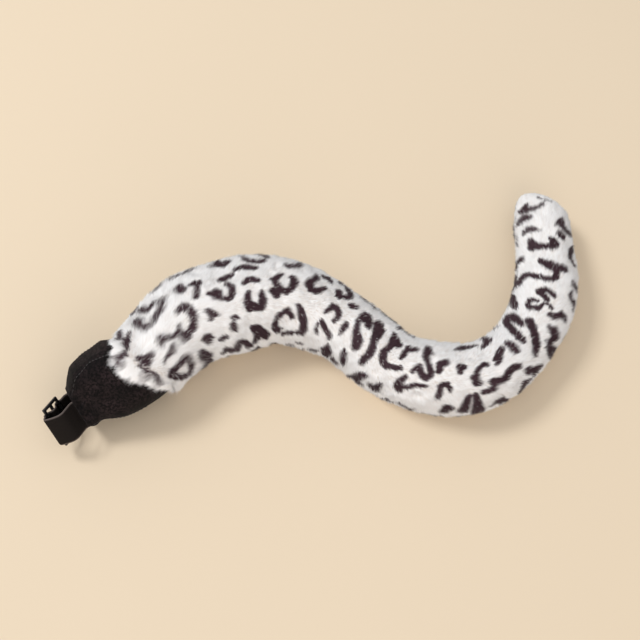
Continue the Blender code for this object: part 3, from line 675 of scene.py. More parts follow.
def make_skin(chart):
    """The backing of the pile fabric, with its rim turned in over the neck of the cap."""
    columns = 112
    turns = np.linspace(0, math.pi / 2, 14)[:-1]
    straight = TAIL_LENGTH - TIP_ROUND
    angles = np.arange(columns) * math.tau / columns
    start = rim_back(angles)
    body = start + (straight - start) * np.linspace(0, 1, 250)[:, None]
    rounded = np.broadcast_to((straight + TIP_ROUND * np.sin(turns[1:]))[:, None], (len(turns) - 1, columns))
    place = np.concatenate((body, rounded))
    angle = np.broadcast_to(angles, place.shape)
    normal = fur_normal(place, angle)[0]
    outer = fur_point(place, angle) + tip_lean(place) - pile_depth(place - start)[..., None] * normal
    edge = lapped(start, angles)
    pocket = np.array([
        cap_point(SKIRT_DEPTH * share + edge * (1 - share), angles, SKIRT_ROOM)
        for share in (1.0, 0.75, 0.5, 0.25, 0.0)
    ])
    floor_of_pocket = centre(np.array(0.0)) + SKIRT_DEPTH * tangent(np.array(0.0))
    tip = fur_point(TAIL_LENGTH, 0.0) + TIP_LEAN - TIP_PILE * tangent(np.array(TAIL_LENGTH))
    data = closed_mesh("plush_skin", np.concatenate((pocket, outer)), floor_of_pocket, tip)
    dark = np.concatenate((np.zeros(len(pocket) * columns), chart.at(place, angle).ravel(), (0.0, 0.0)))
    add_attribute(data, "print", dark)
    return data


def strand_roots(rng, count):
    """Places and angles spread evenly over the fur, thinner underneath and beyond the loose root."""
    straight = TAIL_LENGTH - TIP_ROUND
    turns = np.linspace(0, math.pi / 2, 60)
    ladder = np.concatenate((np.linspace(-0.004, straight, 800)[:-1], straight + TIP_ROUND * np.sin(turns)))
    radius = tail_radius(ladder) * tip_closing(ladder)
    steps = np.hypot(np.diff(ladder), np.diff(radius))
    area = np.concatenate(([0.0], np.cumsum(steps * (radius[1:] + radius[:-1]) / 2)))
    number = np.arange(count)
    place = np.interp((0.5 + number / RATIO) % 1 * area[-1], area, ladder)
    angle = (0.5 + number / RATIO**2) % 1 * math.tau
    ways = tangent(WALK_PLACES)
    heading = np.unwrap(np.arctan2(ways[:, 1], ways[:, 0]))
    bend = np.interp(place, WALK_PLACES, np.gradient(heading, WALK_PLACES))
    stretch = 1 - bend * tail_radius(place) * np.cos(angle)
    under = np.where(np.sin(angle) < UNDERSIDE, UNDERSIDE_SHARE, 1.0)
    thick = 1 - THINNER * smooth((place - 0.06) / 0.10)
    kept = rng.random(count) < np.clip(stretch / 1.5, 0.1, 1.0) * under * thick
    kept &= place > rim_back(angle)
    return place[kept], angle[kept]


def locks(rng, run, around, radius, along, across):
    """The waves and locks of the pile: how high it stands, and how its surface slopes."""
    slope = np.zeros(along.shape)
    relief = np.zeros(len(run))
    for cell, height in WAVES:
        columns = round(GIRTH / cell)
        value, rise, turn_rise = noise_slopes(rng, run / cell, around * columns, columns)
        relief += height * value
        slope += height * (rise / cell)[:, None] * along
        slope -= height * (turn_rise * columns / (math.tau * radius))[:, None] * across
    return relief, slope


def lay_strands(rng, chart, place, angle, length, width):
    """Strands as thin three-sided spikes: over the cap at the rim, then upright, then leaning to the tip."""
    count = len(place)
    normal, along = fur_normal(place, angle)
    across = np.cross(normal, along)
    from_rim = place - rim_back(angle)
    depth = pile_depth(from_rim)
    root = fur_point(place, angle) + tip_lean(place) - depth[:, None] * normal
    wild = 1 - smooth(place / ROOT_PILE)
    run, around = place - chart.START, angle / math.tau
    swirl = layered_noise(rng, run, around, SWIRLS) * (1 + 0.8 * wild)
    swirl += rng.normal(0, SWIRL_SPREAD, count)
    radius = np.maximum(0.010, tail_radius(place) * tip_closing(place))
    relief, slope = locks(rng, run, around, radius, along, across)
    calm = 0.35 + 0.65 * smooth(from_rim / TURNED_IN)
    slope *= calm[:, None]
    loose = (1 + 0.35 * wild)[:, None]
    tuft = relief * calm / WAVE
    over = smooth(from_rim / RISING)
    lean = -LAID_BACK + (LAID_BACK + LEAN + 0.25 * wild) * over
    lean += (0.12 + 0.10 * wild) * tuft + rng.normal(0, LEAN_SPREAD, count)
    reach = np.minimum((depth + STAND_OUT) / np.maximum(0.30, np.cos(lean)), length)
    reach = reach * rng.uniform(*LENGTHS, count) * (1 + (0.17 + 0.05 * wild) * tuft)
    reach = np.where(rng.random(count) < STRAYS, STRAY_LENGTH * reach, reach)
    reach *= 1 + 0.5 * (1 - over) * layered_noise(rng, run, around, RAGGED)
    reach *= 1 - TIP_SHORTER * smooth((place - TAIL_LENGTH + TIP_ROUND + 0.004) / (0.8 * TIP_ROUND))
    upper = bump(turned_from(UPPER_EDGE, angle), UPPER_SPREAD)
    reach *= 1 - UPPER_SHORTER * upper * (1 - smooth((place - 0.012) / 0.04))
    sideways = np.cos(swirl)[:, None] * along + np.sin(swirl)[:, None] * across
    way = unit(np.cos(lean)[:, None] * normal + np.sin(lean)[:, None] * sideways + 0.7 * loose * slope)
    first = unit(np.cross(way, across + 0.3 * along))
    second = np.cross(way, first)
    turn = rng.random(count) * math.tau
    half = width / 2 * rng.uniform(*WIDTHS, count) * (1 - 0.35 * wild - 0.15 * (1 - over))
    verts = np.empty((count, 4, 3))
    for corner in range(3):
        at = turn + corner * math.tau / 3
        verts[:, corner] = root + (half * np.cos(at))[:, None] * first + (half * np.sin(at))[:, None] * second
    verts[:, 3] = root + reach[:, None] * way
    verts = to_frame(verts)
    # The fur that would be below the floor is pressed flat on it
    verts[..., 2] = np.maximum(verts[..., 2], PRESSED + PRESSED_DEPTH * rng.random((count, 1)))
    blur = rng.normal(0, 1, (2, count)) * (BLUR + ROOT_BLUR * wild)
    inked = []
    for share in INKED_AT:
        slide = share * reach * np.sin(lean)
        along_print = place + slide * np.cos(swirl) + blur[0]
        inked.append(chart.at(along_print, angle - (slide * np.sin(swirl) + blur[1]) / radius))
    dark = np.stack(inked, 1)[:, (0, 0, 0, 1)]
    dark *= np.where(rng.random(count) < 0.01 + 0.04 * wild, PALE_INK, 1.0)[:, None]
    shown = unit(0.9 * normal + (0, 0, 0.15) + 0.25 * way - loose * slope + rng.normal(0, 0.14, (count, 3)))
    tone = 0.5 + layered_noise(rng, run, around, TONES) + rng.uniform(-0.5, 0.5, count)
    return verts, dark, np.clip(tone, 0.0, 1.0), shown


def strands_mesh(name, verts, dark, tone, shown):
    """The spikes are shaded by the way that the fur faces there, as a pile is, not by their own sides."""
    count = len(verts)
    start = 4 * np.arange(count)[:, None]
    sides = np.concatenate([start + (corner, (corner + 1) % 3, 3) for corner in range(3)])
    data = mesh_from(name, verts.reshape(-1, 3), [sides])
    add_attribute(data, "print", dark)
    add_attribute(data, "tone", np.repeat(tone, 4))
    # lift runs from 0 at a strand's root to 1 at its tip; the finish paints shade at the roots with it
    add_attribute(data, "lift", np.tile((0.0, 0.0, 0.0, 1.0), count))
    data.attributes.new("custom_normal", "FLOAT_VECTOR", "POINT").data.foreach_set(
        "vector", np.repeat(shown, 4, 0).astype(np.float32).ravel()
    )
    return data


# The padded cap

SeamRow = namedtuple("SeamRow", "share turn")
# Where the front panel is sewn to the side panel: a share of the cap's length, and degrees from its edge
SEAM_ROWS = (
    SeamRow(0.00, 24), SeamRow(0.32, 20.7), SeamRow(0.44, 17.7),
    SeamRow(0.55, 15.5), SeamRow(0.73, 22), SeamRow(1.00, 30),
)
Dent = namedtuple("Dent", "share turn deep long wide")
DENTS = (
    Dent(0.69, 0.55, 0.0012, 0.045, 0.16), Dent(0.93, 1.15, 0.0018, 0.05, 0.22),
    Dent(0.90, 2.1, 0.0014, 0.06, 0.25), Dent(0.52, 1.9, 0.0007, 0.12, 0.35),
    Dent(0.42, 1.0, 0.0006, 0.10, 0.40), Dent(0.80, 1.7, 0.0008, 0.04, 0.5),
)
# The rings that close the strap end: a share of its width, and how far each stands out
END_RINGS = ((0.965, 0.0009), (0.90, 0.0003), (0.72, -0.0012), (0.4, -0.0028))
END_DIP = 0.0034  # the middle of the strap end lies this far in
SEAM_RADIUS = 0.030  # turns a seam's angle into a distance over the cloth
PUCKER = 0.0016  # the stitches pull the cloth in this far apart
SEWN_RIDGE = 0.00022
SEWN_GROOVE = 0.00055
NECK_BULGE = 0.0024
STRAP_CORNER = 0.0028  # the strap end's corners are pulled in by this
STRAP_FOLD = 0.0009
THREAD_RADIUS = 0.00028
STITCH_LIFT = 0.00005  # a stitch starts and ends this far over the cloth
STITCH_PITCH = 0.0033
STITCH_LENGTH = 0.0023
STITCH_SHIFT = 0.085  # the topstitches run this angle beside the seam
STITCHED_FROM = 0.27  # the share of the cap's length where they come out of the fur
STITCHED_SHARE = 0.70


def seam_turns(share):
    """The four seams of the cap, as turns from the middle of its side panel."""
    turn = np.radians(read_table(SEAM_ROWS, "turn", share))
    return turn, math.pi - turn, -turn, math.pi + turn


def cap_relief(place, angle):
    """Height of seams, puckers and soft folds over the cap's plain form."""
    share = -place / CAP_LENGTH
    turn = angle - WIDTH_ANGLE
    height = np.zeros_like(turn)
    for seam in seam_turns(share):
        off = SEAM_RADIUS * np.abs(turned_from(seam, turn))
        pucker = 0.6 + 0.4 * np.sin(place / PUCKER + 2.0 * seam)
        height += SEWN_RIDGE * bump(off - 0.0018, 0.0016) - SEWN_GROOVE * pucker * bump(off, 0.0006)
    towards_strap = smooth((share - 0.72) / 0.28)
    corner = smooth((share - 0.90) / 0.10) * np.abs(np.cos(turn)) ** 3
    folds = np.sin(turn * 9 + 0.6) * 0.6 + np.sin(turn * 15 + 1.9) * 0.4
    height = height * smooth((share - 0.12) / 0.2) - STRAP_CORNER * corner
    height -= STRAP_FOLD * towards_strap * (0.5 + 0.5 * folds) * np.abs(np.sin(turn))
    height += NECK_BULGE * bump(place + 0.003, 0.014) * bump(turned_from(UPPER_EDGE, angle), 0.8)
    turned = turned_from(0.0, turn)
    for dent in DENTS:
        height -= dent.deep * bump(share - dent.share, dent.long) * bump(turned - dent.turn, dent.wide)
    soft = 0.0004 * np.sin(place / 0.006 + 3 * turn) * np.sin(place / 0.011 - 5 * turn + 1)
    return height + soft * smooth((share - 0.3) / 0.3)


def cap_end():
    """The middle of the cap's strap end."""
    place = np.array(-CAP_LENGTH)
    return centre(place) + CAP_WIDTH * CAP_ROWS[-1].shift * cross_axes(place)[0]


def make_cap_cloth():
    columns = 168
    straight = CAP_LENGTH - CAP_EDGE
    neck = np.linspace(SKIRT_DEPTH - CLEARANCE, 0.0, 4)[:-1]
    places = np.concatenate((neck, -np.linspace(0.0, straight, 84)))
    angles = np.arange(columns) * math.tau / columns
    place, angle = np.meshgrid(places, angles, indexing="ij")
    relief = cap_relief(np.minimum(place, 0.0), angle) * smooth(1 - place / 0.006)
    middle = cap_end()
    edge = cap_point(np.full(columns, -straight), angles, relief[-1])
    inward = tangent(np.array(-CAP_LENGTH))
    closing = [middle + (edge - middle) * share - out * inward for share, out in END_RINGS]
    rings = np.concatenate((cap_point(place, angle, relief), np.array(closing)))
    start = centre(np.array(0.0)) + (SKIRT_DEPTH - CLEARANCE) * tangent(np.array(0.0))
    return closed_mesh("cap_cloth", rings, start, middle + END_DIP * inward)


def stitch_mesh(name, stitches):
    """Thread stitches, each from a start to an end over the cloth, bowed out along its own normal."""
    sides, steps = 6, 5
    points, walls, ends = [], [], []
    for number, (start, end, normal) in enumerate(stitches):
        across = np.cross(normal, unit(end - start))
        for step in range(steps):
            t = step / (steps - 1)
            lift = math.sin(math.pi * t)
            middle = start + (end - start) * t + normal * THREAD_RADIUS * (1.5 * lift - 0.7)
            thick = THREAD_RADIUS * (0.55 + 0.45 * lift**0.5)
            for side in range(sides):
                turn = math.tau * side / sides
                points.append(middle + thick * (math.cos(turn) * normal + math.sin(turn) * across))
        base = number * sides * steps
        walls.append(grid_faces(steps, sides) + base)
        ends.append(base + np.arange(sides)[::-1])
        ends.append(base + (steps - 1) * sides + np.arange(sides))
    return mesh_from(name, to_frame(np.array(points)), [np.vstack(walls), np.array(ends)])


def cap_stitches():
    """A row of topstitches on the front panel and one on the back panel, along each seam."""
    stitches = []
    for number, inward in enumerate((1, -1, -1, 1)):
        for i in range(int((CAP_LENGTH * STITCHED_SHARE) / STITCH_PITCH)):
            place = -CAP_LENGTH * STITCHED_FROM - i * STITCH_PITCH
            ends = []
            for at in (np.array(place), np.array(place - STITCH_LENGTH)):
                angle = np.array(seam_turns(-at / CAP_LENGTH)[number] + inward * STITCH_SHIFT + WIDTH_ANGLE)
                ends.append(cap_point(at, angle, cap_relief(at, angle) + STITCH_LIFT))
            normal = unit((ends[0] + ends[1]) / 2 - centre(np.array(place)))
            stitches.append((ends[0], ends[1], normal))
    return stitches


# The loop of webbing

HIGHLIGHTED_SELVEDGE = 0.0016  # the woven edge of the band, coloured lighter over this width as a painted highlight
BAND_INSET = 0.00006  # the band's faces lie this far inside the solid's
BAND_EDGE_INSET = 0.0002
STITCH_INSET = 0.0035
BOX_STITCH = 0.0027


def loop_axes():
    """Where the loop starts at the cap, and its ways out of it, towards the front and across."""
    wide, front = cross_axes(np.array(-CAP_LENGTH))
    return cap_end() + LOOP_SEAT * front - LOOP_SHIFT * wide, np.cross(front, wide), front, wide


LOOP_CENTRE, LOOP_OUT, LOOP_FRONT, LOOP_WIDE = loop_axes()


def back_of_cap(out):
    surface = cap_point(np.array(-CAP_LENGTH - out), WIDTH_ANGLE - math.pi / 2)
    return float((surface - LOOP_CENTRE) @ LOOP_FRONT) - CLEARANCE - WEBBING_THICKNESS / 2


def slider_hump(distance):
    """How far the webbing stands off its line, over the slider's middle bar and under its outer ones."""
    clear = SLIDER_THICKNESS / 2 + CLEARANCE + WEBBING_THICKNESS / 2
    outer = SLIDER_LENGTH / 2 - SLIDER_BAR
    passed = smooth((abs(distance) - SLIDER_BAR / 2) / (outer - SLIDER_BAR / 2))
    away = smooth((abs(distance) - SLIDER_LENGTH / 2) / SLIDER_BAR)
    return clear * (1 - 2 * passed) + clear * away


def webbing_line():
    """The middle line of the webbing as points (out of the cap, towards its front), close together."""
    rows = [np.array((LOOP_REACH * row.reach, LOOP_DEPTH * row.depth)) for row in LOOP_ROWS]
    ends = [2 * rows[0] - rows[1]] + rows + [2 * rows[-1] - rows[-2]]
    line = [np.array((-SLOT_DEPTH + CLEARANCE, 0.0))]
    for before, start, end, after in zip(ends, ends[1:], ends[2:], ends[3:]):
        line += [hermite(start, end, (end - before) / 2, (after - start) / 2, t) for t in np.arange(8) / 8]
    start, end = rows[-1], np.array((0.0, -LOOP_DEPTH))
    line.append(start)
    length = np.linalg.norm(end - start)
    way = (end - start) / length
    outward = np.array((-way[1], way[0])) * (1 if way[0] > 0 else -1)
    half = SLIDER_LENGTH / 2 + SLIDER_BAR
    for at in np.linspace(SLIDER_PLACE - half, SLIDER_PLACE + half, 49)[1:]:
        if at > 0:
            line.append(start + at * way + slider_hump(at - SLIDER_PLACE) * outward)
    line.append(start + (SLIDER_PLACE + half + length) / 2 * way)
    for out in -SEWN_START - SEWN_LENGTH * np.linspace(0, 1, 13):
        line.append(np.array((out, back_of_cap(out))))
    return np.array(line)


def band_section():
    """Places over the band's width, and heights over its middle, for its front and then its back."""
    half_wide, half_thick = WEBBING_WIDTH / 2, WEBBING_THICKNESS / 2 - BAND_INSET
    front = []
    for share in np.linspace(-1, 1, 19):
        rounding = smooth((abs(share) - 0.90) / 0.1)
        edge = smooth((abs(share) - 0.75) / 0.1)
        thick = half_thick * (1 - 0.75 * rounding**2) * (0.93 + 0.07 * edge)
        front.append((share * (half_wide - BAND_EDGE_INSET), thick))
    return np.array(front + [(across, -thick) for across, thick in reversed(front)])


def make_webbing():
    """A band with rounded edges that are slightly thicker than its middle, as woven edges are."""
    line = webbing_line()
    way = unit(np.gradient(line, axis=0))
    normal = np.stack((-way[:, 1], way[:, 0]), 1)
    along = np.concatenate(([0.0], np.cumsum(np.linalg.norm(np.diff(line, axis=0), axis=1))))
    section = band_section()
    flat = line[:, None] + section[None, :, 1, None] * normal[:, None]
    points = (
        LOOP_CENTRE + flat[..., 0, None] * LOOP_OUT + flat[..., 1, None] * LOOP_FRONT
        + section[None, :, 0, None] * LOOP_WIDE
    )
    rows, columns = points.shape[:2]
    ends = np.array([np.arange(columns)[::-1], (rows - 1) * columns + np.arange(columns)])
    data = mesh_from("belt_webbing", to_frame(points.reshape(-1, 3)), [grid_faces(rows, columns), ends])
    uv = np.empty((rows, columns, 2))
    uv[..., 0] = along[:, None] * 1000
    uv[..., 1] = section[None, :, 0] * 1000
    add_uv(data, uv.reshape(-1, 2))
    # The mask of a painted highlight along the band's edges
    edge = smooth((np.abs(section[:, 0]) - WEBBING_WIDTH / 2 + HIGHLIGHTED_SELVEDGE) / 0.0012)
    add_attribute(data, "edge", np.broadcast_to(edge, (rows, columns)))
    return data


def webbing_stitches():
    """The box of stitches that holds the webbing to the back of the cap."""
    half = WEBBING_WIDTH / 2 - STITCH_INSET
    near, far = -SEWN_START - 0.0018, -SEWN_START - SEWN_LENGTH + 0.002
    corners = [(near, -half), (near, half), (far, half), (far, -half)]
    runs = list(zip(corners, corners[1:] + corners[:1]))
    runs += [(corners[0], corners[2]), (corners[1], corners[3])]
    stitches = []
    for start, end in runs:
        start, end = np.array(start), np.array(end)
        count = int(np.linalg.norm(end - start) / BOX_STITCH)
        for i in range(count):
            ends = []
            for t in ((i + 0.12) / count, (i + 0.88) / count):
                out, across = start + (end - start) * t
                depth = back_of_cap(out) - WEBBING_THICKNESS / 2 - STITCH_LIFT
                ends.append(LOOP_CENTRE + out * LOOP_OUT + depth * LOOP_FRONT + across * LOOP_WIDE)
            stitches.append((ends[0], ends[1], -LOOP_FRONT))
    return stitches


# Finishes

def linear(code):
    """A sRGB hex colour in linear light."""
    values = [int(code[i : i + 2], 16) / 255 for i in (0, 2, 4)]
    return [v / 12.92 if v <= 0.04045 else ((v + 0.055) / 1.055) ** 2.4 for v in values]


def add_node(tree, kind, settings=None, feeds=None, give=0):
    """Adds a node with its settings, and with its sockets set to values or fed by others. Gives an output."""
    node = tree.nodes.new(kind)
    for key, value in (settings or {}).items():
        setattr(node, key, value)
    for key, value in (feeds or {}).items():
        socket = node.inputs[key]
        if isinstance(value, bpy.types.NodeSocket):
            tree.links.new(value, socket)
        else:
            socket.default_value = (*value, 1) if socket.type == "RGBA" else value
    return node.outputs[give]


def new_finish(name, settings):
    finish = bpy.data.materials.new(name)
    finish.use_nodes = True
    shader = finish.node_tree.nodes["Principled BSDF"]
    for key, value in settings.items():
        shader.inputs[key].default_value = value
    return finish, finish.node_tree, shader.inputs


MIX = {"data_type": "RGBA"}
LOW, HIGH, RESULT = 6, 7, 2  # the sockets of a Mix node that mixes colours
# How many cells of a pattern go in a metre
KNIT = 900.0  # 1.1 mm each
FLUFF = 420.0  # 2.4 mm
WEAR = 38.0  # 26 mm
MOULDING = 220.0  # 4.5 mm
CLOUDS = 3.0  # 0.33 m
# A wave texture repeats after a twentieth of a full turn over its scale
TWIST = 900.0  # so 0.35 mm
GRAIN = 6.0  # cells in a millimetre of webbing
# A thread of the cap is about 0.35 mm. It is drawn at 0.7 mm, so that the weave shows.
CLOTH_THREAD = 0.0007
RIB = 1.1  # mm between two ribs of the webbing, whose threads are too fine to show
RIB_WAVE = 3.2  # mm across the band in which a rib waves once
RIB_DELAY = 1.2  # radians that the wave carries a rib early or late


def pile_finish(sizes):
    """Acrylic pile, brushed and printed: soft and nearly matt, with painted shade that makes it a little
    darker and warmer at its roots.
    """
    finish, tree, shader = new_finish("acrylic_pile", {
        "Roughness": 0.62, "Sheen Weight": 0.10, "Sheen Roughness": 0.4,
        "Specular IOR Level": 0.25, "IOR": 1.5,
    })
    dark, tone, lift = (
        add_node(tree, "ShaderNodeAttribute", {"attribute_name": name}, give="Fac")
        for name in ("print", "tone", "lift")
    )
    # Painted shade: the strands are coloured darker and warmer towards their roots, for the shade deep in the
    # pile
    white = add_node(tree, "ShaderNodeMix", MIX, {0: lift, LOW: linear("E6DDD5"), HIGH: sizes.white}, RESULT)
    white = add_node(tree, "ShaderNodeMix", MIX, {0: tone, LOW: white, HIGH: linear("FFFFFF")}, RESULT)
    black = add_node(tree, "ShaderNodeMix", MIX, {0: tone, LOW: sizes.spot, HIGH: linear("412B33")}, RESULT)
    printed = add_node(tree, "ShaderNodeMix", MIX, {0: dark, LOW: white, HIGH: black}, RESULT)
    tree.links.new(printed, shader["Base Color"])
    return finish


def backing_finish():
    """Knitted polyester backing: dull, with the print showing through, seen only between the strands."""
    finish, tree, shader = new_finish("knitted_backing", {"Roughness": 0.9, "Specular IOR Level": 0.2})
    dark = add_node(tree, "ShaderNodeAttribute", {"attribute_name": "print"}, give="Fac")
    place = add_node(tree, "ShaderNodeTexCoord", give="Object")
    knit = add_node(tree, "ShaderNodeTexNoise", feeds={"Vector": place, "Scale": KNIT, "Detail": 2.0})
    white, black = (
        add_node(tree, "ShaderNodeMix", MIX, {0: knit, LOW: linear(low), HIGH: linear(high)}, RESULT)
        for low, high in (("C9BDB3", "EDE8E4"), ("33252A", "54424A"))
    )
    printed = add_node(tree, "ShaderNodeMix", MIX, {0: dark, LOW: white, HIGH: black}, RESULT)
    tree.links.new(printed, shader["Base Color"])
    relief = add_node(tree, "ShaderNodeBump", feeds={"Strength": 0.5, "Distance": 0.0004, "Height": knit})
    tree.links.new(relief, shader["Normal"])
    return finish


def cap_finish(sizes):
    """Woven polyester cloth, brushed: matt black, with a fine grain and slightly greyer where it is worn."""
    finish, tree, shader = new_finish("brushed_polyester_cloth", {
        "Roughness": 0.85, "Sheen Weight": 0.03, "Sheen Roughness": 0.45, "Specular IOR Level": 0.12,
    })
    place = add_node(tree, "ShaderNodeTexCoord", give="Object")
    turned = add_node(tree, "ShaderNodeMapping", feeds={"Vector": place, "Rotation": (0.9, 0.3, 0.55)})
    threads = {
        "Vector": turned, "Scale": math.tau / 20 / CLOTH_THREAD, "Distortion": 0.8, "Detail": 1.0,
        "Detail Scale": 2.0,
    }
    warp = add_node(tree, "ShaderNodeTexWave", {"bands_direction": "X"}, threads, "Fac")
    weft = add_node(tree, "ShaderNodeTexWave", {"bands_direction": "Y"}, threads, "Fac")
    weave = add_node(tree, "ShaderNodeMath", {"operation": "MULTIPLY"}, {0: warp, 1: weft})
    fluff = add_node(tree, "ShaderNodeTexNoise", feeds={
        "Vector": place, "Scale": FLUFF, "Detail": 3.0, "Roughness": 0.6,
    })
    worn = add_node(tree, "ShaderNodeTexNoise", feeds={"Vector": place, "Scale": WEAR, "Detail": 3.0})
    tufts = add_node(tree, "ShaderNodeMapRange", feeds={"Value": fluff, "From Min": 0.43, "From Max": 0.58})
    wear = add_node(tree, "ShaderNodeMapRange", feeds={"Value": worn, "From Min": 0.3, "From Max": 0.6})
    base = add_node(tree, "ShaderNodeMix", MIX, {0: tufts, LOW: linear("010000"), HIGH: sizes.cloth}, RESULT)
    base = add_node(tree, "ShaderNodeMix", MIX, {0: weave, LOW: base, HIGH: linear("241D1F")}, RESULT)
    base = add_node(tree, "ShaderNodeMix", MIX, {0: wear, LOW: linear("060505"), HIGH: base}, RESULT)
    tree.links.new(base, shader["Base Color"])
    height = add_node(tree, "ShaderNodeMath", {"operation": "ADD"}, {0: weave, 1: fluff})
    relief = add_node(tree, "ShaderNodeBump", feeds={"Strength": 0.55, "Distance": 0.00035, "Height": height})
    tree.links.new(relief, shader["Normal"])
    return finish


def webbing_finish(sizes):
    """Woven polyester webbing: matt black ribs across the band, and smoother edges with a painted highlight.
    """
    finish, tree, shader = new_finish("polyester_webbing", {"Roughness": 0.7, "Specular IOR Level": 0.12})
    uv = add_node(tree, "ShaderNodeUVMap", {"uv_map": "cloth"})
    across = add_node(tree, "ShaderNodeSeparateXYZ", feeds={0: uv}, give=1)
    along = across.node.outputs[0]
    late = add_node(tree, "ShaderNodeMath", {"operation": "MULTIPLY"}, {0: across, 1: math.tau / RIB_WAVE})
    late = add_node(tree, "ShaderNodeMath", {"operation": "SINE"}, {0: late})
    late = add_node(tree, "ShaderNodeMath", {"operation": "MULTIPLY"}, {0: late, 1: RIB_DELAY})
    run = add_node(tree, "ShaderNodeMath", {"operation": "MULTIPLY"}, {0: along, 1: math.tau / RIB})
    run = add_node(tree, "ShaderNodeMath", {"operation": "ADD"}, {0: run, 1: late})
    ribs = add_node(tree, "ShaderNodeMath", {"operation": "SINE"}, {0: run})
    ribs = add_node(tree, "ShaderNodeMath", {"operation": "MULTIPLY_ADD"}, {0: ribs, 1: 0.5, 2: 0.5})
    edge = add_node(tree, "ShaderNodeAttribute", {"attribute_name": "edge"}, give="Fac")
    grain = add_node(tree, "ShaderNodeTexNoise", feeds={"Vector": uv, "Scale": GRAIN, "Detail": 3.0})
    base = add_node(tree, "ShaderNodeMix", MIX, {0: ribs, LOW: linear("0E0C0B"), HIGH: sizes.webbing}, RESULT)
    base = add_node(tree, "ShaderNodeMix", MIX, {0: grain, LOW: linear("110F0E"), HIGH: base}, RESULT)
    # Painted highlight: the edges are coloured lighter, as if they caught the light
    base = add_node(tree, "ShaderNodeMix", MIX, {0: edge, LOW: base, HIGH: linear("6A605C")}, RESULT)
    tree.links.new(base, shader["Base Color"])
    relief = add_node(tree, "ShaderNodeBump", feeds={"Strength": 0.6, "Distance": 0.0003, "Height": ribs})
    tree.links.new(relief, shader["Normal"])
    return finish


def slider_finish(sizes):
    """Moulded acetal: black, smooth and half glossy, with the faint waviness of a moulding."""
    finish, tree, shader = new_finish("moulded_acetal", {
        "Specular IOR Level": 0.5, "IOR": 1.48, "Coat Weight": 0.15,
    })
    place = add_node(tree, "ShaderNodeTexCoord", give="Object")
    wavy = add_node(tree, "ShaderNodeTexNoise", feeds={"Vector": place, "Scale": MOULDING, "Detail": 2.0})
    base = add_node(tree, "ShaderNodeMix", MIX, {0: wavy, LOW: linear("141314"), HIGH: sizes.plastic}, RESULT)
    tree.links.new(base, shader["Base Color"])
    rough = add_node(tree, "ShaderNodeMapRange", feeds={"Value": wavy, "To Min": 0.20, "To Max": 0.36})
    tree.links.new(rough, shader["Roughness"])
    relief = add_node(tree, "ShaderNodeBump", feeds={"Strength": 0.12, "Distance": 0.0002, "Height": wavy})
    tree.links.new(relief, shader["Normal"])
    return finish


def thread_finish(name, code):
    """Polyester sewing thread: twisted, with a dull shine."""
    finish, tree, shader = new_finish(name, {"Roughness": 0.5, "Sheen Weight": 0.2})
    place = add_node(tree, "ShaderNodeTexCoord", give="Object")
    twist = add_node(tree, "ShaderNodeTexWave", feeds={
        "Vector": place, "Scale": TWIST, "Distortion": 1.0,
    }, give="Fac")
    base = add_node(tree, "ShaderNodeMix", MIX, {0: twist, LOW: linear("161415"), HIGH: linear(code)}, RESULT)
    tree.links.new(base, shader["Base Color"])
    return finish


def floor_finish(sizes):
    """Painted board: matt, plain and pale."""
    finish, tree, shader = new_finish("painted_board", {"Roughness": 0.75, "Specular IOR Level": 0.25})
    place = add_node(tree, "ShaderNodeTexCoord", give="Object")
    cloud = add_node(tree, "ShaderNodeTexNoise", feeds={"Vector": place, "Scale": CLOUDS, "Detail": 3.0})
    darker = [0.97 * value for value in sizes.floor]
    base = add_node(tree, "ShaderNodeMix", MIX, {0: cloud, LOW: darker, HIGH: sizes.floor}, RESULT)
    tree.links.new(base, shader["Base Color"])
    return finish


# The pieces as a user makes them

def place_on_root(made, finish):
    made.data.materials.append(finish)
    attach(made, ROOT)
    return made


def colour_property(name, description, code):
    return bpy.props.FloatVectorProperty(
        name=name, description=description, subtype="COLOR", size=3, min=0.0, max=1.0, default=linear(code)
    )


class PlushTailSizes(bpy.types.PropertyGroup):
    """What a user would change on the tail."""

    pile_length: bpy.props.FloatProperty(
        name="Pile length", description="Length of a strand of fur", default=0.0085, unit="LENGTH"
    )
    pile_width: bpy.props.FloatProperty(
        name="Strand width", description="Width of a strand of fur at its root",
        default=0.00075, unit="LENGTH",
    )
    strand_count: bpy.props.IntProperty(
        name="Strands", description="Strands tried over the whole tail", default=600000
    )
    white: colour_property("White pile", "Colour of the fur between the spots", "F6F5F6")
    spot: colour_property("Spots", "Colour of the printed spots", "2E1A20")
    cloth: colour_property("Cloth", "Colour of the cap", "2E2425")
    webbing: colour_property("Webbing", "Colour of the belt loop", "251B18")
    plastic: colour_property("Plastic", "Colour of the slider", "1C1B1C")
    floor: colour_property("Floor", "Colour of the floor", "DCCBB2")


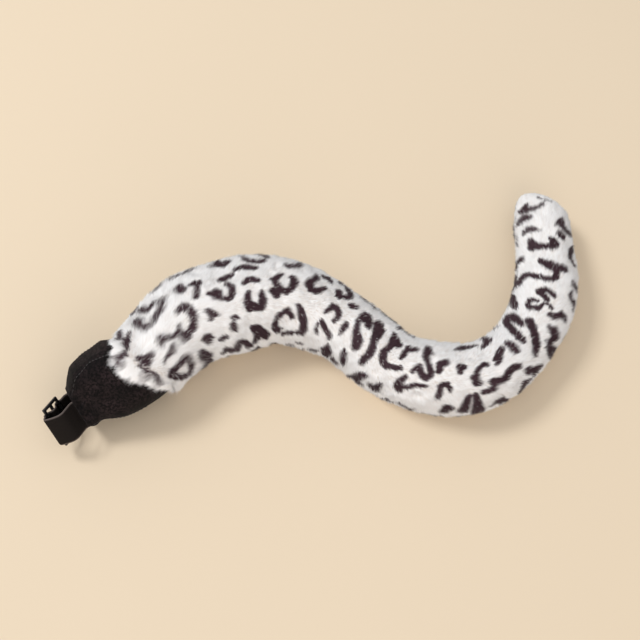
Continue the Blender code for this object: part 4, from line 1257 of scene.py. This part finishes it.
class PLUSHTAIL_OT_fur(bpy.types.Operator):
    """Makes the backing of the tail and lays the printed pile on it"""

    bl_idname = "plushtail.fur"
    bl_label = "Printed fur"

    SEED = 7
    PIECES = 5
    MOST_TRIANGLES = 200000
    RIM_STRANDS = 16000
    RIM_BAND = 0.007  # the extra strands of the rim start within this length

    def execute(self, context):
        sizes = context.scene.plush_tail
        rng = np.random.default_rng(self.SEED)
        chart = PrintChart(rng)
        skin = new_object("plush_skin", make_skin(chart))
        place_on_root(skin, backing_finish())
        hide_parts("tail_body")
        place, angle = strand_roots(rng, sizes.strand_count)
        turns = rng.random(self.RIM_STRANDS) * math.tau
        place = np.concatenate((place, rim_back(turns) + rng.random(self.RIM_STRANDS) ** 1.5 * self.RIM_BAND))
        angle = np.concatenate((angle, turns))
        parts = lay_strands(rng, chart, place, angle, sizes.pile_length, sizes.pile_width)
        finish = pile_finish(sizes)
        for number, chosen in enumerate(np.array_split(np.argsort(place), self.PIECES), 1):
            name = f"fur_{number}"
            if 3 * len(chosen) >= self.MOST_TRIANGLES:
                raise RuntimeError(f"{name} has {3 * len(chosen)} triangles")
            data = strands_mesh(name, *(part[chosen] for part in parts))
            fur = place_on_root(new_object(name, data), finish)
            # The fibres let light through, so that they don't shade each other
            fur.visible_shadow = False
            fur.visible_diffuse = False
        return {"FINISHED"}


class PLUSHTAIL_OT_cap(bpy.types.Operator):
    """Makes the padded cap with its seams"""

    bl_idname = "plushtail.cap"
    bl_label = "Padded cap"

    def execute(self, context):
        sizes = context.scene.plush_tail
        cap = new_object("cap_cloth", make_cap_cloth())
        place_on_root(cap, cap_finish(sizes))
        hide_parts("root_cap")
        sewn = new_object("cap_stitches", stitch_mesh("cap_stitches", cap_stitches()))
        place_on_root(sewn, thread_finish("black_thread", "3A3636"))
        return {"FINISHED"}


class PLUSHTAIL_OT_loop(bpy.types.Operator):
    """Makes the loop of webbing and finishes the slider on it"""

    bl_idname = "plushtail.loop"
    bl_label = "Belt loop and slider"

    def execute(self, context):
        sizes = context.scene.plush_tail
        band = new_object("belt_webbing", make_webbing())
        place_on_root(band, webbing_finish(sizes))
        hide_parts("belt_loop")
        sewn = new_object("webbing_stitches", stitch_mesh("webbing_stitches", webbing_stitches()))
        place_on_root(sewn, thread_finish("webbing_thread", "3C3635"))
        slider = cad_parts["tri_glide"]
        slider.data.materials.clear()
        slider.data.materials.append(slider_finish(sizes))
        return {"FINISHED"}


class PLUSHTAIL_OT_stage(bpy.types.Operator):
    """Makes the floor, the lights and the camera"""

    bl_idname = "plushtail.stage"
    bl_label = "Floor, light and camera"

    LOOK_AT = (0.0024, -0.0103, 0.030)
    ELEVATION = math.radians(66)
    DISTANCE = 1.2667
    LENS = 75.0  # millimetres, as the sensor's width
    SENSOR = 36.0
    FLOOR_REACH = 6.0
    # A lamp's name, place, side, power and colour
    LAMPS = (
        ("key", (-2.0, 0.9, 2.7), 0.9, 60.0, (1.0, 1.0, 1.0)),
        ("fill", (0.7, -2.4, 1.3), 2.2, 25.0, (1.0, 0.89, 0.79)),
    )
    ROOM_COLOUR = (0.99, 0.99, 1.0, 1)
    ROOM_LIGHT = 0.70

    def aim(self, name, data, place):
        made = new_object(name, data)
        made.location = place
        made.rotation_euler = (Vector(self.LOOK_AT) - made.location).to_track_quat("-Z", "Y").to_euler()
        return made

    def execute(self, context):
        scene = context.scene
        mesh = bmesh.new()
        bmesh.ops.create_grid(mesh, x_segments=8, y_segments=8, size=self.FLOOR_REACH)
        data = bpy.data.meshes.new("floor")
        mesh.to_mesh(data)
        mesh.free()
        data.materials.append(floor_finish(scene.plush_tail))
        floor = new_object("floor", data)
        camera = bpy.data.cameras.new("camera")
        camera.lens = self.LENS
        camera.sensor_width = self.SENSOR
        camera.sensor_fit = "HORIZONTAL"
        back = Vector((0, -math.cos(self.ELEVATION), math.sin(self.ELEVATION)))
        scene.camera = self.aim("camera", camera, Vector(self.LOOK_AT) + self.DISTANCE * back)
        for name, place, side, power, colour in self.LAMPS:
            lamp = bpy.data.lights.new(name, "AREA")
            lamp.shape = "SQUARE"
            lamp.size = side
            lamp.energy = power
            lamp.color = colour
            self.aim(name, lamp, place)
        world = bpy.data.worlds.new("room")
        world.use_nodes = True
        world.node_tree.nodes["Background"].inputs["Color"].default_value = self.ROOM_COLOUR
        world.node_tree.nodes["Background"].inputs["Strength"].default_value = self.ROOM_LIGHT
        scene.world = world
        scene.view_settings.view_transform = "Standard"
        return {"FINISHED"}


class PLUSHTAIL_PT_panel(bpy.types.Panel):
    """Lists the sizes, colours and pieces of the tail"""

    bl_idname = "PLUSHTAIL_PT_panel"
    bl_label = "Plush Tail"
    bl_space_type = "VIEW_3D"
    bl_region_type = "UI"
    bl_category = "Plush Tail"

    def draw(self, context):
        sizes = context.scene.plush_tail
        for name in sizes.__annotations__:
            self.layout.prop(sizes, name)
        for operator in OPERATORS:
            self.layout.operator(operator.bl_idname)


OPERATORS = (PLUSHTAIL_OT_fur, PLUSHTAIL_OT_cap, PLUSHTAIL_OT_loop, PLUSHTAIL_OT_stage)
CLASSES = (PlushTailSizes, *OPERATORS, PLUSHTAIL_PT_panel)


def register():
    for made in CLASSES:
        bpy.utils.register_class(made)
    bpy.types.Scene.plush_tail = bpy.props.PointerProperty(type=PlushTailSizes)


def unregister():
    del bpy.types.Scene.plush_tail
    for made in reversed(CLASSES):
        bpy.utils.unregister_class(made)


def main():
    register()
    bpy.ops.plushtail.fur()
    bpy.ops.plushtail.cap()
    bpy.ops.plushtail.loop()
    bpy.ops.plushtail.stage()


if __name__ == "__main__":
    main()
